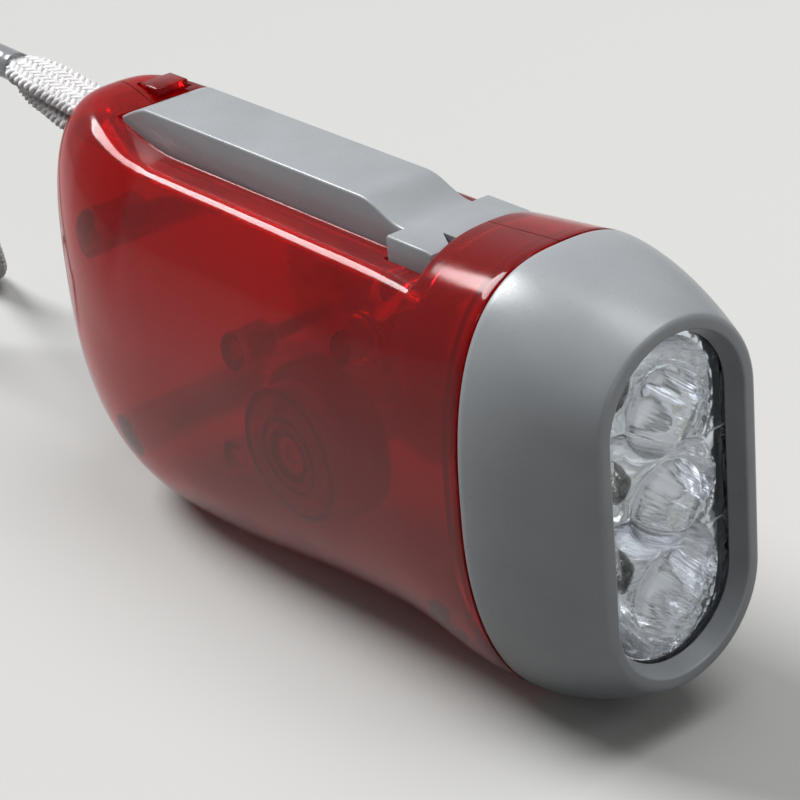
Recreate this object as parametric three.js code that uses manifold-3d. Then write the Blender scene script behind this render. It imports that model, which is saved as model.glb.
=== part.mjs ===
// Squeeze dynamo flashlight: two clear red half shells, a grey head, a grey squeeze lever, and the gear train,
// dynamo and lamps inside. Millimetres. X points along the beam, Y to its left, Z up, and the part stands on Z = 0.

import * as THREE from 'three';
import { mergeVertices } from 'three/addons/utils/BufferGeometryUtils.js';
import Module from 'manifold-3d';

const wasm = await Module();
wasm.setup();

// Driving dimensions
const bodyLength = 110;
const bodyHalfWidth = 17.4;
const headLength = 17.7;
const collarTop = 56;
const headTop = 57.1;
const wall = 1.8;
const gap = 0.3;
const overrun = 2;

const frontX = bodyLength / 2;
const rearX = -bodyLength / 2;
const headX = frontX - headLength;

// Outer skin of the grip: its outline from above and from the side, each a stretch of superellipse
const skinPower = 2.75;
const bodyTopPower = 2.25;
const rearTopPower = 2.9;
const topBlendFrontX = 16;
const topBlendRearInset = 23;
const topBlendRearLength = 12;
const skinSides = 40;
const planRearLength = 33;
const planRearPower = 2.6;
const bellyRearLength = 28;
const bellyRearPower = 2.2;
const bellyRearHeight = 29;
const topRearLength = 9;
const topRearDrop = 8;
const rearEndShare = 0.975;
const footCut = 0.25;
const waistX = 20;
const waistRise = 3.8;
const waistRearReach = 42;
const waistFrontReach = 17.3;
const neckPower = 2.15;
const neckLength = 16;

// Head ring and its rim
const rimHalfWidth = 11.8;
const rimHalfHeight = 22.9;
const rimBand = 1.6;
const rimTaper = 0.8;
const lensRecess = 2.4;
const headPower = 1.7;
const headStations = 6;
const headWall = 1.8;
const spigotLength = 5.7;
const spigotWall = 1.5;
const lampCentreZ = 29.3;
const rimCentreZ = 29.8;

// Window, reflector, lamps and board
const lensThickness = 1.4;
const lensLap = 1.4;
const reflectorDepth = 10.8;
const reflectorHalfWidth = 10.9;
const reflectorHalfHeight = 22;
const lampPitch = 11.5;
const cupMouthRadius = 9.2;
const cupFloorRadius = 3.6;
const cupDepth = 9.3;
const lampRadius = 2.5;
const lampLength = 8.6;
const lampFlangeRadius = 2.9;
const lampFlangeHeight = 1;
const lampStandoff = 1.5;
const leadRadius = 0.35;
const leadSpacing = 2.54;
const leadLength = 3.2;
const boardThickness = 1.6;
const boardHalfWidth = 10.4;
const boardHalfHeight = 21.4;
const boardScrewY = 7;
const boardScrewRadius = 0.8;
const boardScrewHeadRadius = 1.8;
const boardScrewHeadHeight = 1.2;
const boardScrewReach = 2.4;
const rectifierWidth = 6;
const rectifierHeight = 7;
const rectifierDepth = 2.4;

// Lever: block, step, hinge bar and sector
const leverHalfWidth = 5.4;
const leverRise = 0.5;
const leverDepth = 8;
const leverRearInset = 12;
const leverRearDrop = 2.3;
const leverRearLength = 6;
const barDrop = 2.1;
const barHalfWidth = 7.9;
const barFrontX = 24;
const barLength = 8.4;
const stepLength = 8;
const barChamfer = 1;
const notchWidth = 1.6;
const notchDepth = 1.3;
const notchY = -4.6;
const ribDepth = 4.5;
const ribRearX = -2;
const leverTop = collarTop + leverRise;
const leverRearX = rearX + leverRearInset;
const sectorHub = 3.4;
const sectorStartAngle = 192;
const sectorEndAngle = 245;

// Bed of the lever in the two shells
const bedDepth = 4.6;
const bedRampInset = 9;
const bedRampLength = 11;
const bedRampHeight = 6.6;
const bedWall = 1.5;
const slotGap = 0.4;
const barPocketGap = 0.5;
const barPocketDepth = 5;
const barSwing = 1.9;
const bedHeight = collarTop - bedDepth;
const bedFrontX = barFrontX + slotGap;
const bedRampX = leverRearX + bedRampInset;

// Hinge pin and torsion spring
const pinRadius = 0.8;
const pinDrop = 1;
const pinSeat = 2.9;
const pinReach = barHalfWidth + pinSeat;
const boreGap = 0.3;
const pinBossRadius = 2.9;
const springPostX = 14.3;
const springPostZ = 41.6;
const springPostRadius = 2;
const springPostDepth = 10.8;
const springPostEndY = springPostDepth - bodyHalfWidth;
const springWire = 0.7;
const springCoilRadius = 2.85;
const springTurns = 4;
const springPitch = 1.15;
const springStepsPerTurn = 8;
const springLegSteps = 4;
const springSides = 5;
const springLeg = 7;

// Gear train: pitch radii and tooth counts, and the planes the wheels turn in
const sectorPitchRadius = 25;
const sectorTeeth = 50;
const firstPinionTeeth = 10;
const firstPitchRadius = 11.9;
const firstWheelTeeth = 34;
const secondPinionTeeth = 10;
const secondPitchRadius = 9.75;
const secondWheelTeeth = 30;
const rotorPinionTeeth = 10;
const sectorModule = 2 * sectorPitchRadius / sectorTeeth;
const firstModule = 2 * firstPitchRadius / firstWheelTeeth;
const secondModule = 2 * secondPitchRadius / secondWheelTeeth;
const meshPlay = 0.12;
const addendumShare = 0.8;
const dedendumShare = 1.05;
const toothShare = 0.4;
const axleRadius = 1;
const axleEndDepth = 3.8;
const axleReach = bodyHalfWidth - axleEndDepth;
const axleBossRadius = 2.4;
const axleBossLength = 3.4;
const firstGearDirection = 208;
const sectorLowY = -0.4;
const sectorHighY = 2;
const firstPinionLowY = -0.7;
const firstWheelLowY = 2.4;
const firstWheelHighY = 4.9;
const secondWheelLowY = -3.6;
const secondWheelHighY = -1.3;
const secondPinionHighY = firstWheelHighY + gap;
const rotorPinionHighY = -1;
const hubRadius = 2.2;

// Rotor and dynamo
const rotorX = 3.4;
const rotorZ = 24.4;
const flywheelRadius = 10.5;
const flywheelDepth = 6;
const flywheelThickness = 3.6;
const flywheelLowY = flywheelDepth - bodyHalfWidth;
const flywheelHighY = flywheelLowY + flywheelThickness;
const flywheelRim = 2;
const flywheelWebCut = 1.1;
const shaftEndDepth = 3;
const shaftReach = bodyHalfWidth - shaftEndDepth;
const bushOuterRadius = 2.4;
const bushLength = 2;
const bushBossRadius = 3.6;
const bushBossDepth = 4.9;
const bushBossLowY = bodyHalfWidth - bushBossDepth;
const magnetRadius = 5;
const magnetInset = 1.3;
const statorRadius = 9.5;
const statorWall = 0.6;
const statorGearGap = 0.5;
const statorPlate = 0.7;
const statorLowY = firstWheelHighY + statorGearGap;
const statorHighY = bushBossLowY - gap;
const magnetLowY = statorLowY + magnetInset;
const magnetHighY = statorHighY - magnetInset;
const statorBore = 2.4;
const clawInnerRadius = 5.5;
const clawOuterRadius = 6.2;
const clawCount = 4;
const clawTipGap = 1.8;
const clawLength = statorHighY - statorLowY - statorPlate * 2 - clawTipGap;
const clawWidth = 2.8;
const bobbinInnerRadius = 6.5;
const bobbinCoreRadius = 7.1;
const bobbinFlangeRadius = 8.5;
const bobbinFlange = 0.5;
const windingOuterRadius = 8.3;
const wireRadius = 0.6;

// Shell screws and their bosses
const screwBossRadius = 3.1;
const screwShankRadius = 1.2;
const screwHeadRadius = 2.5;
const screwHeadHeight = 1.5;
const screwHeadDepth = 5.8;
const screwTipDepth = 8.4;
const screwHeadY = bodyHalfWidth - screwHeadDepth;
const screwTipY = screwTipDepth - bodyHalfWidth;
const screwSlotWidth = 0.7;
const screwSlotDepth = 0.7;
const screwSlotShare = 0.7;
const frontScrewInset = 8.3;
const frontScrewZ = 11;
const lowerScrewInset = 19;
const lowerScrewZ = 13;
const upperScrewInset = 15;
const upperScrewZ = 41;
const screwPlaces = [
  [headX - frontScrewInset, frontScrewZ], [rearX + lowerScrewInset, lowerScrewZ],
  [rearX + upperScrewInset, upperScrewZ],
];

// Lock slider on the rear collar
const sliderInset = 6.8;
const sliderLength = 4.2;
const sliderLowY = 1.2;
const sliderWidth = 5.2;
const sliderSink = 1.1;
const sliderThickness = 1.35;
const stemInset = 1;
const stemLength = 2;
const stemInsetY = 0.6;
const stemWidth = 2.4;
const stemHeight = 3.3;
const sliderTravel = 3;
const sliderLowX = rearX + sliderInset;
const sliderHighX = sliderLowX + sliderLength;
const sliderHighY = sliderLowY + sliderWidth;
const sliderLowZ = collarTop - sliderSink;
const stemLowX = sliderLowX + stemInset;
const stemHighX = stemLowX + stemLength;
const stemLowY = sliderLowY + stemInsetY;
const stemHighY = stemLowY + stemWidth;
const stemLowZ = sliderLowZ - stemHeight;

// Wrist strap: hole, knot, cord and sleeve
const strapZ = 48.5;
const strapHoleHalfWidth = 3.9;
const strapHoleHalfHeight = 2.95;
const cordRadius = 1.2;
const knotRadius = 3.4;
const knotLength = 4.6;
const sleeveLength = 15;
const sleeveWall = 0.5;
const sleevePlay = 0.5;
const sleeveStart = 23;
const sleeveTwist = -40;

const round = { tiny: 8, small: 12, medium: 20, large: 32 };
const degree = Math.PI / 180;

// Solids from three.js geometry
function solid(geometry) {
  geometry.deleteAttribute('normal');
  geometry.deleteAttribute('uv');
  const merged = mergeVertices(geometry, 1e-5);
  const mesh = new wasm.Mesh({
    numProp: 3,
    vertProperties: new Float32Array(merged.attributes.position.array),
    triVerts: new Uint32Array(merged.index.array),
  });
  return new wasm.Manifold(mesh);
}

function node(name, body, color, roughness, metalness, opacity = 1) {
  const mesh = body.getMesh();
  const geometry = new THREE.BufferGeometry();
  geometry.setAttribute('position', new THREE.BufferAttribute(new Float32Array(mesh.vertProperties), 3));
  geometry.setIndex(new THREE.BufferAttribute(new Uint32Array(mesh.triVerts), 1));
  geometry.computeVertexNormals();
  const look = { color, roughness, metalness, flatShading: true, transparent: opacity < 1, opacity };
  const made = new THREE.Mesh(geometry, new THREE.MeshStandardMaterial(look));
  made.name = name;
  return made;
}

function union(parts) {
  return parts.slice(1).reduce((sum, part) => sum.add(part), parts[0]);
}

function box(x0, x1, y0, y1, z0, z1) {
  const geometry = new THREE.BoxGeometry(x1 - x0, y1 - y0, z1 - z0);
  geometry.translate((x0 + x1) / 2, (y0 + y1) / 2, (z0 + z1) / 2);
  return solid(geometry);
}

function cylinderY(x, z, radius, y0, y1, sides) {
  const geometry = new THREE.CylinderGeometry(radius, radius, y1 - y0, sides);
  geometry.translate(x, (y0 + y1) / 2, z);
  return solid(geometry);
}

function ringY(x, z, outer, inner, y0, y1, sides) {
  return cylinderY(x, z, outer, y0, y1, sides).subtract(cylinderY(x, z, inner, y0 - overrun, y1 + overrun, sides));
}

function cylinderX(y, z, radius, x0, x1, sides) {
  const geometry = new THREE.CylinderGeometry(radius, radius, x1 - x0, sides);
  geometry.rotateZ(Math.PI / 2);
  geometry.translate((x0 + x1) / 2, y, z);
  return solid(geometry);
}

// A lathe profile of [radius, height] pairs, turned about X with its height along +X
function turnedX(profile, x, y, z, sides) {
  const points = profile.map(([radius, height]) => new THREE.Vector2(radius, height));
  const geometry = new THREE.LatheGeometry(points, sides);
  geometry.rotateZ(-Math.PI / 2);
  geometry.translate(x, y, z);
  return solid(geometry);
}

// An outline of [x, z] points, extruded along Y
function plateY(outline, y0, y1) {
  const shape = new THREE.Shape(outline.map(([x, z]) => new THREE.Vector2(x, z)));
  const geometry = new THREE.ExtrudeGeometry(shape, { depth: y1 - y0, bevelEnabled: false });
  geometry.rotateX(Math.PI / 2);
  geometry.translate(0, y1, 0);
  return solid(geometry);
}

// An outline of [x, y] points, extruded along Z
function plateZ(outline, z0, z1) {
  const shape = new THREE.Shape(outline.map(([x, y]) => new THREE.Vector2(x, y)));
  const geometry = new THREE.ExtrudeGeometry(shape, { depth: z1 - z0, bevelEnabled: false });
  geometry.translate(0, 0, z0);
  return solid(geometry);
}

// Rings of points with the same count, one after the other along X, joined into a closed skin
function loft(rings) {
  const sides = rings[0].length;
  const positions = rings.flat(2);
  const triangles = [];
  for (let ring = 0; ring + 1 < rings.length; ring++) {
    for (let side = 0; side < sides; side++) {
      const a = ring * sides + side;
      const b = ring * sides + (side + 1) % sides;
      triangles.push(a, b, a + sides, b, b + sides, a + sides);
    }
  }
  const last = (rings.length - 1) * sides;
  for (let side = 1; side + 1 < sides; side++) {
    triangles.push(0, side + 1, side);
    triangles.push(last, last + side, last + side + 1);
  }
  const geometry = new THREE.BufferGeometry();
  geometry.setAttribute('position', new THREE.BufferAttribute(new Float32Array(positions), 3));
  geometry.setIndex(triangles);
  return solid(geometry);
}

// Directions round a section, evenly spread along an ellipse of the body's proportions
function sectionAngles() {
  const angles = [];
  for (let side = 0; side < skinSides; side++) {
    const turn = (side + 0.5) / skinSides * 2 * Math.PI;
    angles.push(Math.atan2(collarTop / 2 * Math.sin(turn), bodyHalfWidth * Math.cos(turn)));
  }
  return angles;
}

function superRadius(angle, halfWidth, halfHeight, { upperPower, lowerPower }) {
  const power = angle < 0 ? lowerPower : upperPower;
  const across = Math.abs(Math.cos(angle) / halfWidth) ** power;
  const along = Math.abs(Math.sin(angle) / halfHeight) ** power;
  return (across + along) ** (-1 / power);
}

function stadiumRadius(angle, halfWidth, halfHeight) {
  const straight = halfHeight - halfWidth;
  const side = halfWidth / Math.max(Math.abs(Math.cos(angle)), 1e-9);
  if (side * Math.abs(Math.sin(angle)) <= straight) return side;
  const reach = straight * Math.abs(Math.sin(angle));
  return reach + Math.sqrt(halfWidth ** 2 - (straight * Math.cos(angle)) ** 2);
}

function ring(x, centreZ, radiusAt) {
  return sectionAngles().map((angle) => {
    const radius = radiusAt(angle);
    return [x, radius * Math.cos(angle), centreZ + radius * Math.sin(angle)];
  });
}

function clampShare(value) {
  return Math.min(1, Math.max(0, value));
}

function quarter(share, power) {
  return (1 - clampShare(share) ** power) ** (1 / power);
}

// Half width, top and bottom of the grip's skin at a place along X
function gripSection(x) {
  const share = Math.min(1, (frontX - x) / bodyLength) * rearEndShare;
  const reached = frontX - share * bodyLength;
  const plan = (rearX + planRearLength - reached) / planRearLength;
  const belly = (rearX + bellyRearLength - reached) / bellyRearLength;
  const top = (rearX + topRearLength - reached) / topRearLength;
  const rise = Math.max(0, (x - barFrontX) / (headX - barFrontX)) * (headTop - collarTop);
  const waistReach = x < waistX ? waistRearReach : waistFrontReach;
  const waist = waistRise * Math.max(0, 1 - ((x - waistX) / waistReach) ** 2) ** 2;
  const neck = clampShare(1 - (headX - x) / neckLength) ** 2;
  const frontTop = clampShare((x - topBlendFrontX) / (headX - topBlendFrontX));
  const rearTop = clampShare((rearX + topBlendRearInset - x) / topBlendRearLength);
  return {
    halfWidth: bodyHalfWidth * quarter(plan, planRearPower),
    top: collarTop - topRearDrop * (1 - quarter(top, 2)) + rise,
    bottom: bellyRearHeight * (1 - quarter(belly, bellyRearPower)) - footCut + waist,
    upperPower: bodyTopPower + frontTop * (skinPower - bodyTopPower) + rearTop * (rearTopPower - bodyTopPower),
    lowerPower: skinPower + neck * (neckPower - skinPower),
  };
}

function gripRing(x, inset) {
  const section = gripSection(x);
  const { halfWidth, top, bottom } = section;
  const halfHeight = (top - bottom) / 2;
  return ring(x, (top + bottom) / 2, (angle) => superRadius(angle, halfWidth - inset, halfHeight - inset, section));
}

// Places along the grip: close together where the rear rounds, wider along the straight
const gripStations = [0, 5, 14, 34, 68, 115, 180, 260, 350, 470, 600, 720, 800, 880, 940, 1000];
const gripStationScale = 1000;

function gripSkin(inset, endX) {
  const startX = rearX + inset;
  return loft(gripStations.map((station) => gripRing(startX + station / gripStationScale * (endX - startX), inset)));
}

// Head ring: from the grip's section at its edge to the flat rim in front
function headBlend(x) {
  return Math.max(0, (x - headX) / headLength) ** headPower;
}

function headRing(x, inset) {
  const blend = headBlend(x);
  const section = gripSection(headX);
  const { halfWidth, top, bottom } = section;
  const centreZ = (1 - blend) * (top + bottom) / 2 + blend * rimCentreZ;
  return ring(x, centreZ, (angle) => {
    const edge = superRadius(angle, halfWidth - inset, (top - bottom) / 2 - inset, section);
    const rim = stadiumRadius(angle, rimHalfWidth - inset, rimHalfHeight - inset);
    return (1 - blend) * edge + blend * rim;
  });
}

function headSkin(inset, startX, endX) {
  const rings = [];
  for (let station = 0; station <= headStations; station++) {
    rings.push(headRing(startX + station / headStations * (endX - startX), inset));
  }
  return loft(rings);
}

function stadiumPlate(halfWidth, halfHeight, centreZ, x0, x1, frontGrowth = 0) {
  const section = (x, growth) => {
    return ring(x, centreZ, (angle) => stadiumRadius(angle, halfWidth + growth, halfHeight + growth));
  };
  return loft([section(x0, 0), section(x1, frontGrowth)]);
}

// Gears: tooth flanks are involutes, thinned for play, with a short tip
function gearOutline(teeth, module, firstTooth = 0, lastTooth = teeth, phase = 0) {
  const pitch = teeth * module / 2;
  const tip = pitch + addendumShare * module;
  const root = pitch - dedendumShare * module;
  const pressure = 20 * degree;
  const base = pitch * Math.cos(pressure);
  const involute = (radius) => {
    const bend = Math.acos(Math.min(1, base / radius));
    return Math.tan(bend) - bend;
  };
  const halfAtPitch = toothShare * Math.PI / teeth;
  const halfAt = (radius) => halfAtPitch + involute(pitch) - involute(Math.max(radius, base));
  const radii = [root, Math.max(base, root), pitch, tip];
  const outline = [];
  for (let tooth = firstTooth; tooth < lastTooth; tooth++) {
    const middle = phase + tooth * 2 * Math.PI / teeth;
    for (const radius of radii) outline.push([radius, middle - halfAt(radius)]);
    for (const radius of [...radii].reverse()) outline.push([radius, middle + halfAt(radius)]);
  }
  return outline.filter((point, index) => {
    const before = outline[(index + outline.length - 1) % outline.length];
    return Math.abs(point[0] - before[0]) > 1e-6 || Math.abs(point[1] - before[1]) > 1e-6;
  });
}

function fromPolar(outline, x, z) {
  return outline.map(([radius, angle]) => [x + radius * Math.cos(angle), z + radius * Math.sin(angle)]);
}

function pitchRadius(teeth, module) {
  return teeth * module / 2;
}

function meshDistance(teethA, teethB, module) {
  return (teethA + teethB) * module / 2 + meshPlay;
}

// The turn of a gear's first tooth that brings a gap of it onto a tooth of its driver at a direction
function meshPhase(direction, driverTeeth, driverPhase, teeth) {
  const driverPitch = 2 * Math.PI / driverTeeth;
  const offset = ((direction - driverPhase) / driverPitch) % 1;
  const facing = direction + Math.PI;
  return facing + offset * 2 * Math.PI / teeth + Math.PI / teeth;
}

// Axes of the mechanism, each parallel to Y
const barRadius = barLength / 2;
const hingeX = barFrontX - barRadius;
const barCentreZ = leverTop - barDrop - barRadius;
const hingeZ = barCentreZ - pinDrop;
const sectorDirection = firstGearDirection * degree;
const sectorDistance = meshDistance(sectorTeeth, firstPinionTeeth, sectorModule);
const firstX = hingeX + sectorDistance * Math.cos(sectorDirection);
const firstZ = hingeZ + sectorDistance * Math.sin(sectorDirection);
const firstToSecond = meshDistance(firstWheelTeeth, secondPinionTeeth, firstModule);
const secondToRotor = meshDistance(secondWheelTeeth, rotorPinionTeeth, secondModule);

// The second gear stands where its two centre distances meet, on the rear side
function secondCentre() {
  const dx = firstX - rotorX;
  const dz = firstZ - rotorZ;
  const span = Math.hypot(dx, dz);
  const along = (secondToRotor ** 2 - firstToSecond ** 2 + span ** 2) / (2 * span);
  const aside = Math.sqrt(secondToRotor ** 2 - along ** 2);
  return [rotorX + (along * dx - aside * dz) / span, rotorZ + (along * dz + aside * dx) / span];
}

const [secondX, secondZ] = secondCentre();
const firstToSecondDirection = Math.atan2(secondZ - firstZ, secondX - firstX);
const secondToRotorDirection = Math.atan2(rotorZ - secondZ, rotorX - secondX);
const firstPinionPhase = meshPhase(sectorDirection, sectorTeeth, 0, firstPinionTeeth);
const secondPinionPhase = meshPhase(firstToSecondDirection, firstWheelTeeth, 0, secondPinionTeeth);
const rotorPinionPhase = meshPhase(secondToRotorDirection, secondWheelTeeth, 0, rotorPinionTeeth);

// Lever
const barRearX = barFrontX - barLength;
const barTop = leverTop - barDrop;
const blockEndX = barRearX - stepLength;
const leverBottom = leverTop - leverDepth;

function arcPoints(centreX, centreZ, radiusX, radiusZ, from, to, steps) {
  const points = [];
  for (let step = 0; step <= steps; step++) {
    const angle = (from + (to - from) * step / steps) * degree;
    points.push([centreX + radiusX * Math.cos(angle), centreZ + radiusZ * Math.sin(angle)]);
  }
  return points;
}

function stepPoints() {
  const points = [];
  const steps = 5;
  for (let step = 0; step <= steps; step++) {
    const share = step / steps;
    const drop = (1 - Math.cos(share * Math.PI)) / 2;
    points.push([blockEndX + share * stepLength, leverTop - barDrop * drop]);
  }
  return points;
}

function leverBlock() {
  const rear = arcPoints(leverRearX + leverRearLength, leverTop - leverRearDrop, leverRearLength, leverRearDrop, 180, 90, 5);
  const outline = [...rear, ...stepPoints(), [hingeX, barTop], [hingeX, leverBottom], [leverRearX, leverBottom]];
  return plateY(outline.reverse(), -leverHalfWidth, leverHalfWidth);
}

function hingeBar() {
  const top = [[barFrontX, barTop - barChamfer], [barFrontX - barChamfer, barTop], [barRearX, barTop]];
  const barrel = arcPoints(hingeX, barCentreZ, barRadius, barRadius, 180, 360, 10);
  return plateY([...top, ...barrel], -barHalfWidth, barHalfWidth);
}

function sector() {
  const toothStep = 2 * Math.PI / sectorTeeth;
  const first = Math.ceil(sectorStartAngle * degree / toothStep);
  const last = Math.floor(sectorEndAngle * degree / toothStep);
  const rim = fromPolar(gearOutline(sectorTeeth, sectorModule, first, last + 1), hingeX, hingeZ);
  const hub = arcPoints(hingeX, hingeZ, sectorHub, sectorHub, sectorEndAngle, sectorStartAngle, 6);
  return plateY([...rim, ...hub], sectorLowY, sectorHighY);
}

function sectorRib() {
  return box(ribRearX, hingeX, sectorLowY, sectorHighY, leverBottom - ribDepth, leverBottom + gap);
}

function rotorMagnet() {
  return ringY(rotorX, rotorZ, magnetRadius, axleRadius + boreGap, magnetLowY, magnetHighY, round.large);
}

function squeezeLever() {
  const notch = plateZ([
    [barFrontX - notchDepth, notchY],
    [barFrontX + overrun, notchY - notchWidth],
    [barFrontX + overrun, notchY + notchWidth],
  ], hingeZ, leverTop);
  const bore = cylinderY(hingeX, hingeZ, pinRadius + boreGap, -barHalfWidth - overrun, barHalfWidth + overrun, round.small);
  return union([leverBlock(), hingeBar(), sector(), sectorRib()]).subtract(notch).subtract(bore);
}

// Shells
function bedCut(grow) {
  const floor = bedHeight - grow;
  const rampTop = bedHeight + bedRampHeight;
  const ramp = arcPoints(bedRampX, rampTop, bedRampLength + grow, bedRampHeight + grow, 180, 270, 8);
  const wallX = bedFrontX + grow;
  const high = headTop + overrun;
  const outline = [...ramp, [wallX, floor], [wallX, high], [bedRampX - bedRampLength - grow, high]];
  return plateY(outline, -bodyHalfWidth, bodyHalfWidth);
}

function spigot() {
  const inset = headWall + gap;
  const outer = headSkin(inset, headX - wall * 2, headX + spigotLength);
  const root = headSkin(wall / 2, headX - wall * 2, headX - gap);
  return outer.add(root).subtract(headSkin(inset + spigotWall, headX - wall * 3, headX + spigotLength + overrun));
}

// Round bosses of a half shell, from a place near the middle out to the skin
function bosses(side) {
  const reach = bodyHalfWidth;
  const between = (x, z, radius, from) => {
    const low = Math.min(side * from, side * reach);
    return cylinderY(x, z, radius, low, low + reach - from, round.medium);
  };
  const axleFrom = axleReach - axleBossLength;
  const made = [
    between(firstX, firstZ, axleBossRadius, axleFrom),
    between(secondX, secondZ, axleBossRadius, axleFrom),
    between(rotorX, rotorZ, bushBossRadius, bushBossLowY),
    between(hingeX, hingeZ, pinBossRadius, barHalfWidth + gap),
    ...screwPlaces.map(([x, z]) => between(x, z, screwBossRadius, gap / 2)),
  ];
  if (side < 0) made.push(between(springPostX, springPostZ, springPostRadius, -springPostEndY));
  return union(made);
}

function bossHoles(side) {
  const blind = (x, z, radius, to) => cylinderY(x, z, radius, side < 0 ? -to : 0, side < 0 ? 0 : to, round.small);
  const holes = [
    blind(firstX, firstZ, axleRadius + boreGap, axleReach + gap),
    blind(secondX, secondZ, axleRadius + boreGap, axleReach + gap),
    blind(rotorX, rotorZ, bushOuterRadius + gap, bushBossLowY + bushLength + gap * 2),
    blind(hingeX, hingeZ, pinRadius + boreGap, pinReach + gap),
  ];
  for (const [x, z] of screwPlaces) {
    if (side < 0) {
      holes.push(cylinderY(x, z, screwShankRadius + gap, screwTipY - gap, 0, round.small));
    } else {
      holes.push(cylinderY(x, z, screwShankRadius + gap, 0, screwHeadY + gap, round.small));
      holes.push(cylinderY(x, z, screwHeadRadius + gap, screwHeadY - gap, bodyHalfWidth + overrun, round.medium));
    }
  }
  return union(holes);
}

function leverOpening() {
  const slot = box(
    leverRearX - slotGap, hingeX, -leverHalfWidth - slotGap, leverHalfWidth + slotGap,
    leverBottom - leverDepth, headTop + overrun,
  );
  const pocketHalf = barHalfWidth + barPocketGap / 2;
  const pocket = box(
    barRearX - barPocketGap, barFrontX + gap, -pocketHalf, pocketHalf, hingeZ - barRadius - barPocketDepth, headTop,
  );
  const under = box(
    barRearX, barFrontX + barSwing, -pocketHalf, pocketHalf,
    hingeZ - barRadius - barPocketDepth, barTop - barChamfer / 2,
  );
  return union([slot, pocket, under]);
}

function strapHole() {
  const halfY = strapHoleHalfWidth;
  const halfZ = strapHoleHalfHeight;
  const middle = box(rearX - overrun, rearX + wall * 2, -halfY + halfZ, halfY - halfZ, strapZ - halfZ, strapZ + halfZ);
  const ends = [-1, 1].map((side) => {
    return cylinderX(side * (halfY - halfZ), strapZ, halfZ, rearX - overrun, rearX + wall * 2, round.small);
  });
  return union([middle, ...ends]);
}

function sliderSlot() {
  const slot = box(stemLowX - gap, stemHighX + gap, stemLowY - gap, stemHighY + sliderTravel + gap, stemLowZ - wall, headTop);
  const recess = box(
    sliderLowX - gap, sliderHighX + gap, sliderLowY - gap, sliderHighY + sliderTravel + gap, sliderLowZ - gap, headTop,
  );
  return slot.add(recess);
}

const outerSkin = gripSkin(0, headX - gap);
const innerSkin = gripSkin(wall, headX + overrun);
const floorCut = box(rearX - overrun, frontX + overrun, -bodyHalfWidth, bodyHalfWidth, -overrun, 0);

function shell(side) {
  const half = box(
    rearX - overrun, frontX + overrun,
    side < 0 ? -bodyHalfWidth - overrun : gap / 2, side < 0 ? -gap / 2 : bodyHalfWidth + overrun,
    -overrun, headTop + overrun,
  );
  const hollow = innerSkin.subtract(bedCut(bedWall));
  return outerSkin
    .subtract(hollow)
    .add(bosses(side).intersect(outerSkin))
    .subtract(bedCut(0))
    .add(spigot())
    .subtract(bossHoles(side))
    .subtract(leverOpening())
    .subtract(strapHole())
    .subtract(sliderSlot())
    .subtract(floorCut)
    .intersect(half);
}

// Head ring
const lensFrontX = frontX - lensRecess - gap;
const lensRearX = lensFrontX - lensThickness;

function headBezel() {
  const outer = headSkin(0, headX, frontX);
  const hollow = headSkin(headWall, headX - gap, frontX - lensRecess);
  const clearHalfWidth = rimHalfWidth - rimBand - rimTaper;
  const clearHalfHeight = rimHalfHeight - rimBand - rimTaper;
  const opening = stadiumPlate(clearHalfWidth, clearHalfHeight, rimCentreZ, frontX - lensRecess - gap, frontX, rimTaper);
  return outer.subtract(hollow).subtract(opening).subtract(floorCut);
}

function frontLens() {
  const halfWidth = rimHalfWidth - rimBand - rimTaper + lensLap;
  const halfHeight = rimHalfHeight - rimBand - rimTaper + lensLap;
  return stadiumPlate(halfWidth, halfHeight, rimCentreZ, lensRearX, lensFrontX);
}

const reflectorFrontX = lensRearX - gap;
const reflectorRearX = reflectorFrontX - reflectorDepth;
const lampBaseX = reflectorRearX - lampStandoff;
const boardFrontX = lampBaseX - gap;
const boardRearX = boardFrontX - boardThickness;
const lampHeights = [lampPitch, 0, -lampPitch];
const boardScrewHeights = [lampPitch / 2, -lampPitch / 2];

function reflector() {
  const cupFloorX = reflectorFrontX - cupDepth;
  const steps = 6;
  const profile = [[0, 0]];
  for (let step = 0; step <= steps; step++) {
    const share = step / steps;
    const radius = Math.sqrt(cupFloorRadius ** 2 + share * (cupMouthRadius ** 2 - cupFloorRadius ** 2));
    profile.push([radius, share * cupDepth]);
  }
  profile.push([cupMouthRadius, cupDepth + overrun], [0, cupDepth + overrun]);
  let body = stadiumPlate(reflectorHalfWidth, reflectorHalfHeight, rimCentreZ, reflectorRearX, reflectorFrontX);
  for (const height of lampHeights) {
    const z = lampCentreZ + height;
    body = body.subtract(turnedX(profile, cupFloorX, 0, z, round.medium));
    const socketRadius = lampFlangeRadius + gap;
    body = body.subtract(cylinderX(0, z, socketRadius, reflectorRearX - overrun, cupFloorX + overrun, round.small));
  }
  for (const height of boardScrewHeights) {
    const z = lampCentreZ + height;
    const pilot = boardScrewRadius + gap;
    const endX = reflectorRearX + boardScrewReach;
    body = body.subtract(cylinderX(boardScrewY, z, pilot, reflectorRearX - overrun, endX, round.small));
  }
  return body;
}

function lamp(height) {
  const z = lampCentreZ + height;
  const dome = [];
  const steps = 5;
  for (let step = 0; step <= steps; step++) {
    const angle = step / steps * Math.PI / 2;
    dome.push([lampRadius * Math.cos(angle), lampLength - lampRadius + lampRadius * Math.sin(angle)]);
  }
  dome[steps][0] = 0;
  const profile = [
    [0, 0], [lampFlangeRadius, 0], [lampFlangeRadius, lampFlangeHeight], [lampRadius, lampFlangeHeight], ...dome,
  ];
  const leadEndX = lampBaseX + lampFlangeHeight / 2;
  const leads = [-1, 1].map((side) => {
    return cylinderX(side * leadSpacing / 2, z, leadRadius, lampBaseX - leadLength, leadEndX, round.tiny);
  });
  return union([turnedX(profile, lampBaseX, 0, z, round.small), ...leads]);
}

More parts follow.
